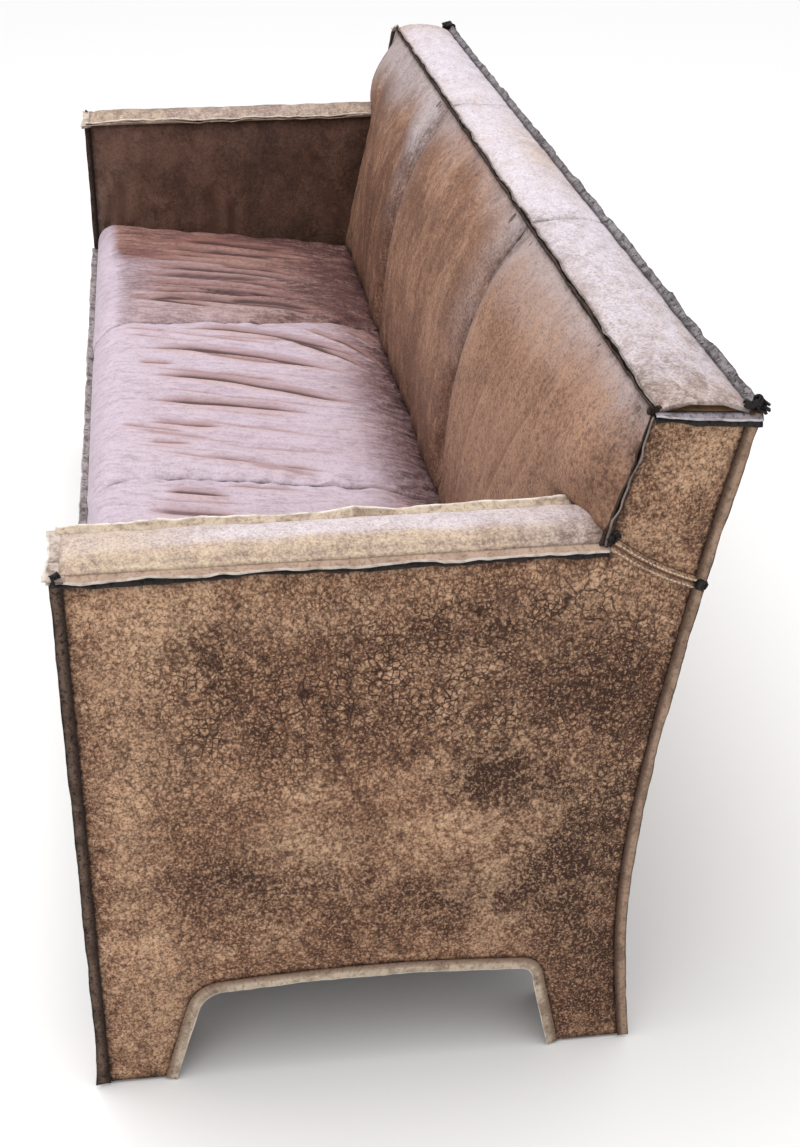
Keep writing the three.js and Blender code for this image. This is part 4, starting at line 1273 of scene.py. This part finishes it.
def patches(y, z, places, seed):
    """The strength of a set of soft, uneven patches at each point."""
    warp_y = y + 0.020 * rough(y, z, 0.07, seed, 4)
    warp_z = z + 0.020 * rough(y, z, 0.07, seed + 20, 4)
    total = np.zeros(np.shape(y))
    for at_y, at_z, spread_y, spread_z, strength in places:
        off_y, off_z = (warp_y - at_y) / spread_y, (warp_z - at_z) / spread_z
        total = total + strength * np.exp(-off_y ** 2 - off_z ** 2)
    return np.clip(total, 0.0, 1.6)


def end_relief(seed, darks, lights, puff=0.0045):
    """The relief and the marks of a panel on an end: pillowed, with dark and light patches."""
    def relief(y, z, distance):
        uneven = 0.0016 * rough(y, z, 0.14, seed) + 0.0004 * rough(y, z, 0.03, seed + 1)
        height = puff * smooth(0.0, 0.05, distance) - 0.001 + uneven * smooth(0.0, 0.03, distance)
        stain = patches(y, z, darks, seed + 2) + 0.18 * rough(y, z, 0.05, seed + 3, 4)
        rim = 1.0 - smooth(0.0, 0.010, distance)
        # Painted shadow: a dark band along the top of the side panel, under the arm's outer raw edge.
        flange_shadow = 0.90 * (1.0 - smooth(0.004, 0.024, ARM_EDGE_Z - z)) * (y < FELLED["front"][0])
        zero = np.zeros(len(y))
        return height, {
            "bloom": zero, "stain": np.clip(stain, 0, 1.6), "fold": zero,
            "ridge": np.clip(patches(y, z, lights, seed + 4), 0, 1),
            "edge": np.clip(np.maximum(rim, flange_shadow), 0, 1), "web": patches(y, z, SIDE_WEB, seed + 6),
        }
    return relief


def felled_line():
    """Points (y, z) along the seam between the side panel and the wing, sagging slightly."""
    share = np.linspace(0.0, 1.0, 24)
    front = np.array(FELLED["front"])
    rear = np.array([float(rear_y(FELLED["rear_z"])), FELLED["rear_z"]])
    line = front + (rear - front) * share[:, None]
    line[:, 1] -= 0.005 * np.sin(math.pi * share)
    return line


def rear_line(low, high):
    """Points (y, z) up the rear outline, about 20 mm apart."""
    heights = np.linspace(low, high, max(2, int((high - low) / 0.02)))
    return np.column_stack([rear_y(heights), heights])


def side_panel(label, side, seed, material):
    """The outer side of an end, from both feet up to the arm and the wing."""
    rear = rear_line(SOLE_Z, FELLED["rear_z"])
    outline = [[FRONT_Y, SOLE_Z], *ARCH, *rear, *felled_line()[::-1][1:], [FRONT_Y, ARM_EDGE_Z]]
    relief = end_relief(seed, SIDE_PATCHES, SIDE_LIGHTS)
    piece = outline_panel(f"outer_side_panel_{label}", np.array(outline), SIDE_STEP, seed, relief, side)
    finished(piece, material, [f"outer_side_panel_{label}"])


def wing_front_line():
    """Points (y, z) up the front edge of a wing, where the back's leather meets it."""
    heights = np.linspace(ARM_EDGE_Z + 0.001, CAP_Z - 0.003, 16)
    return np.column_stack([back_face(np.full(16, END_X), heights), heights])


def wing_panel(label, side, seed, material):
    """The panel above the felled seam, beside the back."""
    rear = rear_line(FELLED["rear_z"] + 0.01, REAR_TOP_Z)
    outline = [*felled_line(), *rear, *wing_front_line()[::-1][:-1]]
    relief = end_relief(seed, WING_PATCHES, WING_LIGHTS, 0.005)
    piece = outline_panel(f"wing_panel_{label}", np.array(outline), SIDE_STEP, seed, relief, side)
    finished(piece, material, [f"wing_panel_{label}"])


FELLED_HALF_WIDTH = 0.0078
FELLED_RIDGE = 0.52          # where its two ridges lie, as a share of its half width
STITCH = (0.0052, 0.0036, 0.00075)     # pitch, length and thread radius


def felled_seam(label, side, material, thread):
    """The lapped seam under the wing: a strip with two ridges, sewn down on both."""
    line, along = resampled(felled_line(), 0.004)
    nv = steps(along[-1], 0.004) + 1
    run = np.linspace(0.0, along[-1], nv)
    centre = np.stack([np.interp(run, along, line[:, k]) for k in range(2)], 1)
    heading = unit(np.gradient(centre, axis=0))
    across = np.stack([-heading[:, 1], heading[:, 0]], 1)
    share = np.linspace(1.0, -1.0, 2 * COARSE + 1)
    places = centre[None] + across[None] * (share * FELLED_HALF_WIDTH)[:, None, None]
    ridge = 0.0030 * (bell(share - FELLED_RIDGE, 0.30) + bell(share + FELLED_RIDGE, 0.30))
    height = END_X + 0.0004 + ridge[:, None] + 0.0003 * rough(run * 2, 0, 0.02, 77)[None]
    surface = np.stack([height, places[..., 0], places[..., 1]], -1)
    # Darker in the middle groove and along both rims of the strip: painted shade in the grooves.
    groove = np.clip(bell(share, 0.20) + smooth(0.86, 1.0, np.abs(share)), 0, 1)
    rubbed = bell(share - 0.5, 0.2) + bell(share + 0.5, 0.2)
    fields = {
        "bloom": 0.15, "stain": 0.0, "fold": 0.8 * groove[:, None], "ridge": 0.7 * rubbed[:, None],
        "edge": 0.0,
    }
    piece = shell(f"felled_seam_{label}", surface, 0.002, fields, side)
    finished(piece, material)
    for name, shift in (("upper", FELLED_RIDGE), ("lower", -FELLED_RIDGE)):
        row = centre + across * shift * FELLED_HALF_WIDTH
        path = np.column_stack([np.full(nv, END_X + 0.0036), row])
        piece = stitching(f"felled_stitches_{name}_{label}", path, (1, 0, 0), *STITCH, side)
        finished(piece, thread)


def plain_sheet(name, surface, seed, material, side=1, puff=0.003, width=0.03, stain=0.3):
    """A leather panel with no special marks: pillowed up to its seams, unevenly coloured."""
    nu, nv = surface.shape[:2]
    u_length = np.linalg.norm(np.diff(surface[:, nv // 2], axis=0), axis=1).sum()
    v_length = np.linalg.norm(np.diff(surface[nu // 2], axis=0), axis=1).sum()
    rim = edge_field(u_length, v_length, nu, nv, width)
    normal = grid_normals(surface)
    u = np.linspace(0, u_length, nu)[:, None]
    v = np.linspace(0, v_length, nv)[None, :]
    lift = puff * (1.0 - rim) + (1 - rim) * 0.0016 * rough(u, v, 0.12, seed)
    patchy = 0.5 + 0.5 * rough(u, v, 0.10, seed + 5, 4)
    fields = {
        "bloom": 0.10 * patchy, "stain": stain * (1 - patchy), "fold": 0.0, "ridge": 0.3 * patchy ** 2,
        "edge": edge_field(u_length, v_length, nu, nv, 0.009),
    }
    piece = shell(name, surface + normal * lift[..., None], LEATHER, fields, side)
    finished(piece, material, [name])


def front_y(z):
    """The front of the sofa is flat."""
    return np.full(np.shape(z), FRONT_Y)


def upright_sheet(x0, x1, low, high, depth):
    """A grid over x and z whose depth is a function of z. It faces the front if x0 is less than x1."""
    nu, nv = steps(abs(x1 - x0), PLAIN_STEP) + 1, steps(high - low, PLAIN_STEP) + 1
    x, z = np.meshgrid(np.linspace(x0, x1, nu), np.linspace(low, high, nv), indexing="ij")
    return np.stack([x, depth(z), z], -1)


def end_front_and_rear(label, side, seed, material):
    """The narrow panels on the front and rear of an end."""
    inner, outer = INNER_X + ALLOWANCE, END_X - BEHIND
    front = upright_sheet(inner, outer, SOLE_Z, ARM_EDGE_Z, front_y)
    plain_sheet(f"arm_front_panel_{label}", front, seed, material, side, width=0.02, stain=0.6)
    rear = upright_sheet(outer, inner, SOLE_Z, REAR_TOP_Z, rear_y)
    plain_sheet(f"end_rear_panel_{label}", rear, seed + 1, material, side, width=0.02)


def rear_and_apron(material):
    """The three panels of the rear, and the three under the seat's front seam."""
    inner = INNER_X - ALLOWANCE
    spans = {"right": (-inner, -SEAM_X), "middle": (-SEAM_X, SEAM_X), "left": (SEAM_X, inner)}
    for k, (label, (x0, x1)) in enumerate(spans.items()):
        rear = upright_sheet(x1, x0, BASE_Z, REAR_TOP_Z, rear_y)
        plain_sheet(f"rear_panel_{label}", rear, 700 + k, material, puff=0.006, width=0.06)
        apron = upright_sheet(x0, x1, BASE_Z, SEAT_SEAM_Z, front_y)
        plain_sheet(f"apron_panel_{label}", apron, 720 + k, material, puff=0.004, width=0.04)


FACING_ROWS = 2 * COARSE + 1
FOOT_INSET = 0.0034          # the lining of a foot stays this far inside the foot's outline


def arch_facing(label, side, seed, material):
    """The leather turned under the arch and up the inner faces of the feet."""
    path, along = resampled(ARCH, 0.001)
    run = np.linspace(0, along[-1], steps(along[-1], ARCH_STEP) + 1)
    x = np.linspace(INNER_X + 0.0004, END_X - BEHIND, FACING_ROWS)
    x, y = np.meshgrid(x, np.interp(run, along, path[:, 0]), indexing="ij")
    z = np.broadcast_to(np.interp(run, along, path[:, 1]), x.shape)
    facing = np.stack([x, y, z], -1)
    plain_sheet(f"arch_facing_{label}", facing, seed, material, side, puff=0.0005, width=0.01, stain=0.5)
    heights = np.linspace(SOLE_Z, KNEE_TOP_Z, FACING_ROWS)
    front_foot = np.interp(heights, ARCH[:2, 1], ARCH[:2, 0]) - FOOT_INSET
    rear_foot = np.interp(heights, ARCH[-2:, 1][::-1], ARCH[-2:, 0][::-1]) + FOOT_INSET
    for foot, near, far in (
        ("front", np.full(FACING_ROWS, FRONT_Y + FOOT_INSET), front_foot),
        ("rear", rear_foot, rear_y(heights) - FOOT_INSET),
    ):
        share = np.linspace(1.0, 0.0, FACING_ROWS)[:, None]
        y = near[None] + (far - near)[None] * share
        flap = np.stack([np.full(y.shape, INNER_X), y, np.broadcast_to(heights, y.shape)], -1)
        edge = edge_field(0.1, 0.12, FACING_ROWS, FACING_ROWS, 0.012)
        fields = {"bloom": 0.0, "stain": 0.4, "fold": 0.0, "ridge": 0.0, "edge": edge}
        piece = shell(f"foot_lining_{foot}_{label}", flap, 0.0026, fields, side)
        finished(piece, material)


# ---------------------------------------------------------------- raw edges of every seam

# Each raw edge's colours at the seam, in the middle and at the cut, then its specks, where the cut's colour
# starts, and its blotches.
EDGE_LOOKS = {
    "black": (DARK_HIDE, (0.150, 0.098, 0.072), (0.010, 0.008, 0.008), 0.85, 0.66, 0.8),
    "knot": ((0.010, 0.009, 0.009), (0.045, 0.038, 0.036), (0.02, 0.018, 0.018), 0.8, 0.5),
    "tan": ((0.09, 0.05, 0.035), (0.40, 0.27, 0.19), (0.03, 0.022, 0.02), 0.45, 0.80, 0.5),
    "beige": ((0.26, 0.17, 0.12), (0.58, 0.47, 0.36), CHALK, 0.5),
    "pale": ((0.16, 0.11, 0.09), (0.58, 0.48, 0.42), CHALK, 0.4),
    "mottled": ((0.09, 0.068, 0.068), (0.38, 0.33, 0.335), (0.50, 0.45, 0.44), 0.85),
    "cap_end": ((0.05, 0.042, 0.046), (0.34, 0.30, 0.33), (0.66, 0.61, 0.63), 0.7),
    "arm": ((0.24, 0.14, 0.105), (0.46, 0.33, 0.25), (0.72, 0.64, 0.58), 0.45, 0.93, 0.5),
    "brown": ((0.02, 0.013, 0.010), (0.07, 0.042, 0.033), (0.27, 0.22, 0.20), 0.7, 0.9),
    "grey": ((0.035, 0.03, 0.034), (0.25, 0.225, 0.235), (0.05, 0.045, 0.05), 0.95),
}


def on_end(line):
    """Points (y, z) as points on the outer face of an end."""
    return np.column_stack([np.full(len(line), END_X), line])


def off_outline(path):
    """Directions away from the leather along an end's outline: out at the rear, down under the arch."""
    heading = unit(np.gradient(path, axis=0))
    return np.column_stack([np.zeros(len(path)), heading[:, 2], -heading[:, 1]])


def finish_lower_layer(piece, material):
    """Gives the second half of a raw edge, its lower layer, a finish of its own."""
    piece.data.materials.append(material)
    half = len(piece.data.polygons) // 2
    for face in list(piece.data.polygons)[half:]:
        face.material_index = 1


def end_edges(label, side, edges):
    """The raw edges round one end, its arm and its wing, and the knots where they end together."""
    seed = 800 if side > 0 else 900
    rear = on_end(rear_line(SOLE_Z, FELLED["rear_z"] + 0.003))
    rear_high = on_end(rear_line(FELLED["rear_z"] - 0.003, REAR_TOP_Z + 0.002))
    rear_top_y = float(rear_y(REAR_TOP_Z))
    cap_end = [(END_X - 0.001, y, CAP_Z - 0.002 - 0.06 * (y - CAP_FRONT_Y))
               for y in np.linspace(CAP_FRONT_Y, rear_top_y + 0.012, 8)]
    drop = math.radians(14)
    arm_z = ARM_SEAM_Z - 0.0026
    felled_y = FELLED["front"][0]
    inner, outer = INNER_X + 0.001, END_X - 0.003
    rows = [
        ("side_front", [(END_X, FRONT_Y, SOLE_Z), (END_X, FRONT_Y, ARM_EDGE_Z)],
         (0, -1, 0), (1, 0, 0),
         "black", dict(width=0.0108, fray=(0.35, 0.1))),
        ("arm_front_inner", [(INNER_X, FRONT_Y, SOLE_Z), (INNER_X, FRONT_Y, ARM_EDGE_Z)],
         (0, -1, 0), (1, 0, 0),
         "brown", dict(width=0.009)),
        ("side_rear", rear, off_outline, (1, 0, 0),
         "tan", dict(width=0.0108, wave=0.0016)),
        ("wing_rear", rear_high, off_outline, (1, 0, 0),
         "tan", dict(width=0.0112, wave=0.0018)),
        ("arch", on_end(ARCH), off_outline, (1, 0, 0),
         "beige", dict(width=0.0115, wave=0.0016, ragged=0.12)),
        # Its lower layer takes the near-black knot finish: painted shadow under the arm's outer flange.
        ("arm_outer", [(outer, FRONT_Y - 0.010, arm_z), (outer, felled_y - 0.004, arm_z)],
         (math.cos(drop), 0, -math.sin(drop)), (math.sin(drop), 0, math.cos(drop)),
         "arm", dict(width=0.0120, wave=0.0040, ragged=0.26, droop=0.0040, root=0.6, behind=0.93,
                     apart=0.0018, under="knot")),
        ("arm_inner", [(inner, FRONT_Y - 0.006, arm_z), (inner, ARM_REAR_Y - 0.006, arm_z)],
         (-1, 0, 0.34), (0.34, 0, 1),
         "beige", dict(width=0.0135, wave=0.0036, ragged=0.2, root=0.5, droop=-0.001)),
        ("arm_front_top",
         [(INNER_X - 0.012, FRONT_Y + 0.001, arm_z), (END_X + 0.011, FRONT_Y + 0.001, arm_z)],
         (0, -1, -0.05), (0, -0.05, 1),
         "pale", dict(width=0.0155, wave=0.0022, fray=(0.1, 0.15), root=0.45)),
        ("wing_front", on_end(wing_front_line()), (1.0, -0.45, 0), (0.45, 1.0, 0),
         "brown", dict(width=0.0075, wave=0.0052, ragged=0.3, behind=0.9)),
        ("wing_top", cap_end, (1, 0, -0.25), (0.25, 0, 1),
         "cap_end", dict(width=0.0085, wave=0.0036, ragged=0.26, droop=0.003, behind=0.9, apart=0.003,
                         under="knot")),
    ]
    for k, (name, path, outward, across, tone, extra) in enumerate(rows):
        under = extra.pop("under", None)
        piece = raw_edge(f"raw_edge_{name}_{label}", path, outward, across, seed + 7 * k, side=side, **extra)
        finished(piece, edges[tone])
        if under:
            finish_lower_layer(piece, edges[under])
    knots = [
        ("arm_knot", (END_X + 0.001, felled_y - 0.003, ARM_SEAM_Z + 0.002), 0.011, 6, "knot"),
        ("wing_knot", (END_X + 0.003, rear_top_y + 0.006, CAP_Z + 0.002), 0.0125, 8, "knot"),
        ("arm_corner", (END_X + 0.003, FRONT_Y - 0.006, ARM_SEAM_Z - 0.004), 0.009, 5, "knot"),
        ("felled_end", (END_X + 0.001, float(rear_y(FELLED["rear_z"])) + 0.004, FELLED["rear_z"] + 0.001),
         0.0095, 6, "knot"),
        ("cap_front_corner", (END_X - 0.002, CAP_FRONT_Y - 0.001, CAP_TOP_Z - 0.006), 0.007, 4,
         "beige" if side < 0 else "brown"),
    ]
    for k, (name, centre, reach, scraps, tone) in enumerate(knots):
        piece = clump(f"{name}_{label}", centre, reach, scraps, seed + 60 + 9 * k, side)
        finished(piece, edges[tone])


def long_edges(edges):
    """The raw edges that run along the sofa: the seat's front seam and both seams of the back's top."""
    rear = float(rear_y(REAR_TOP_Z)) + 0.002
    rows = [
        ("seat_front", INNER_X - 0.001, (FRONT_Y + 0.001, SEAT_SEAM_Z), (0, -1, 0.15), (0, 0.15, 1),
         "mottled", "seat_leather", dict(width=0.0145, wave=0.0028)),
        ("back_top_front", END_X, (CAP_FRONT_Y + 0.001, CAP_Z - 0.002), (0, -0.25, 1), (0, 1, 0.25),
         "brown", "top_leather", dict(width=0.0095, wave=0.0026, ragged=0.25)),
        ("back_top_rear", END_X, (rear, CAP_Z - 0.007), (0, 0.87, 0.5), (0, -0.5, 0.87),
         "grey", "top_leather", dict(width=0.0120, wave=0.0040, ragged=0.28)),
    ]
    for k, (name, reach_x, place, outward, across, tone, slot, extra) in enumerate(rows):
        path = [(-reach_x, *place), (reach_x, *place)]
        piece = raw_edge(f"raw_edge_{name}", path, outward, across, 1000 + 7 * k, **extra)
        finished(piece, edges[tone])


# ---------------------------------------------------------------- the CAD's own pieces

def finish_frame_nodes():
    """Timber, plywood, lining and glides keep their CAD shape and get their own materials."""
    pine_x = wood("pine_along", (0.42, 0.24, 0.11), (0.66, 0.44, 0.24), 0)
    pine_z = wood("pine_upright", (0.42, 0.24, 0.11), (0.66, 0.44, 0.24), 2)
    ply = wood("plywood", (0.46, 0.30, 0.16), (0.70, 0.52, 0.32), 0, 9.0)
    rules = {
        "front_post": pine_z, "rear_post": pine_z, "side_rail": pine_x, "arm_rail": pine_x,
        "inner_side_ply": ply, "outer_side_ply": ply, "front_board": pine_x, "rear_board": pine_x,
        "seat_stretcher": pine_x, "seat_deck": ply, "back_ply": ply, "back_lower_rail": pine_x,
        "back_top_rail": pine_x, "dust_cover": dust_cloth("dust_cloth"), "glide": worn_nylon("worn_nylon"),
    }
    for name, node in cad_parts.items():
        for start, material in rules.items():
            if name.startswith(start):
                node.data.materials.clear()
                node.data.materials.append(material)


# ---------------------------------------------------------------- floor, lights and camera

SKY = {"horizon": 0.16, "zenith": 1.90}
SOFT_BOXES = [        # name, place, size and power of each lamp
    ("overhead", (-0.3, -0.9, 3.2), (3.2, 2.6), 52.0),
    ("near_end", (3.2, -1.4, 1.5), (1.6, 1.6), 11.0),
]
LIT_PLACE = Vector((0.0, 0.0, 0.45))
CAMERA = {"place": (2.7158, -0.2390, 1.5721), "turn": 7.7172, "pitch": 27.6119, "lens": 56.98}


def pale_floor():
    bpy.ops.mesh.primitive_plane_add(size=160.0, location=(0, 0, 0))
    floor = bpy.context.active_object
    floor.name = "floor"
    f = Finish("floor")
    floor.data.materials.append(f.done((0.93, 0.93, 0.93, 1.0), 0.9, Specular_IOR_Level=0.1))


def studio_sky():
    """A white surround that is dim at the horizon and bright overhead."""
    world = bpy.data.worlds.new("studio")
    world.use_nodes = True
    tree = world.node_tree
    facing = tree.nodes.new("ShaderNodeTexCoord").outputs["Generated"]
    height = tree.nodes.new("ShaderNodeSeparateXYZ")
    tree.links.new(facing, height.inputs["Vector"])
    square = tree.nodes.new("ShaderNodeMath")
    square.operation = "MULTIPLY"
    for socket in square.inputs[:2]:
        tree.links.new(height.outputs["Z"], socket)
    grade = tree.nodes.new("ShaderNodeMapRange")
    tree.links.new(square.outputs["Value"], grade.inputs["Value"])
    grade.inputs["To Min"].default_value = SKY["horizon"]
    grade.inputs["To Max"].default_value = SKY["zenith"]
    tree.links.new(grade.outputs["Result"], tree.nodes["Background"].inputs["Strength"])
    tree.nodes["Background"].inputs["Color"].default_value = (1.0, 1.0, 1.0, 1.0)
    bpy.context.scene.world = world
    bpy.context.scene.view_settings.view_transform = "Standard"


def soft_boxes():
    for name, place, size, energy in SOFT_BOXES:
        lamp = bpy.data.lights.new(name, "AREA")
        lamp.shape = "RECTANGLE"
        lamp.size, lamp.size_y = size
        lamp.energy = energy
        holder = bpy.data.objects.new(name, lamp)
        bpy.context.scene.collection.objects.link(holder)
        holder.location = place
        aim = LIT_PLACE - Vector(place)
        holder.rotation_euler = aim.to_track_quat("-Z", "Y").to_euler()


def camera():
    """The camera stands past the near end, high up, and looks along the sofa."""
    data = bpy.data.cameras.new("camera")
    data.lens = CAMERA["lens"]
    data.sensor_fit = "AUTO"
    data.sensor_width = 36.0
    data.clip_end = 200.0
    holder = bpy.data.objects.new("camera", data)
    bpy.context.scene.collection.objects.link(holder)
    turn, pitch = math.radians(CAMERA["turn"]), math.radians(CAMERA["pitch"])
    forward = Vector((-math.cos(turn) * math.cos(pitch), math.sin(turn) * math.cos(pitch), -math.sin(pitch)))
    right = forward.cross(Vector((0, 0, 1))).normalized()
    up = right.cross(forward)
    facing = Matrix((right, up, -forward)).transposed().to_4x4()
    holder.matrix_world = Matrix.Translation(CAMERA["place"]) @ facing
    bpy.context.scene.camera = holder


# ---------------------------------------------------------------- the sofa

def sofa():
    """Every piece of the sofa. Its two ends are made one after the other, each from its own seeds."""
    side_hide = leather("side_leather", SIDE_TONES, DUSTY_TAN,
                        speckle=0.75, crackle=1.0, gloss=0.2, specular=0.2)
    inner_hide = leather("inner_arm_leather", INNER_TONES, DUSTY_BROWN, speckle=0.35, crackle=0.3, gloss=0.3)
    seat_hide = leather("seat_leather", SEAT_TONES, LILAC, (4, 1, 1), 0.22, 0.12, 0.7, 0.35, 0.32)
    back_hide = leather("back_leather", BACK_TONES, GREY_LILAC, (1.7, 1.7, 0.8), 0.52, 0.1, 0.45, 0.35, 0.2)
    top_hide = leather("top_leather", TOP_TONES, PALE_LILAC, (1, 2, 1), 0.5, 0.4, 0.5, 0.2, 0.28)
    thread = waxed_thread("waxed_thread", (0.72, 0.63, 0.50))
    edges = {key: raw_leather(f"raw_edge_{key}", *look) for key, look in EDGE_LOOKS.items()}
    seat(seat_hide)
    back(back_hide)
    back_top_panel("right", -END_X, -SEAM_X, 30, top_hide)
    back_top_panel("middle", -SEAM_X, SEAM_X, 31, top_hide)
    back_top_panel("left", SEAM_X, END_X, 32, top_hide)
    for k, (label, side) in enumerate((("left", 1), ("right", -1))):
        arm_top(label, side, 60 + 10 * k, top_hide)
        inner_arm(label, side, 64 + 10 * k, inner_hide)
        side_panel(label, side, 140 + 30 * k, side_hide)
        wing_panel(label, side, 150 + 30 * k, side_hide)
        felled_seam(label, side, side_hide, thread)
        end_front_and_rear(label, side, 160 + 30 * k, side_hide)
        arch_facing(label, side, 165 + 30 * k, side_hide)
        end_edges(label, side, edges)
    rear_and_apron(side_hide)
    long_edges(edges)
    finish_frame_nodes()


camera()
sofa()
pale_floor()
studio_sky()
soft_boxes()
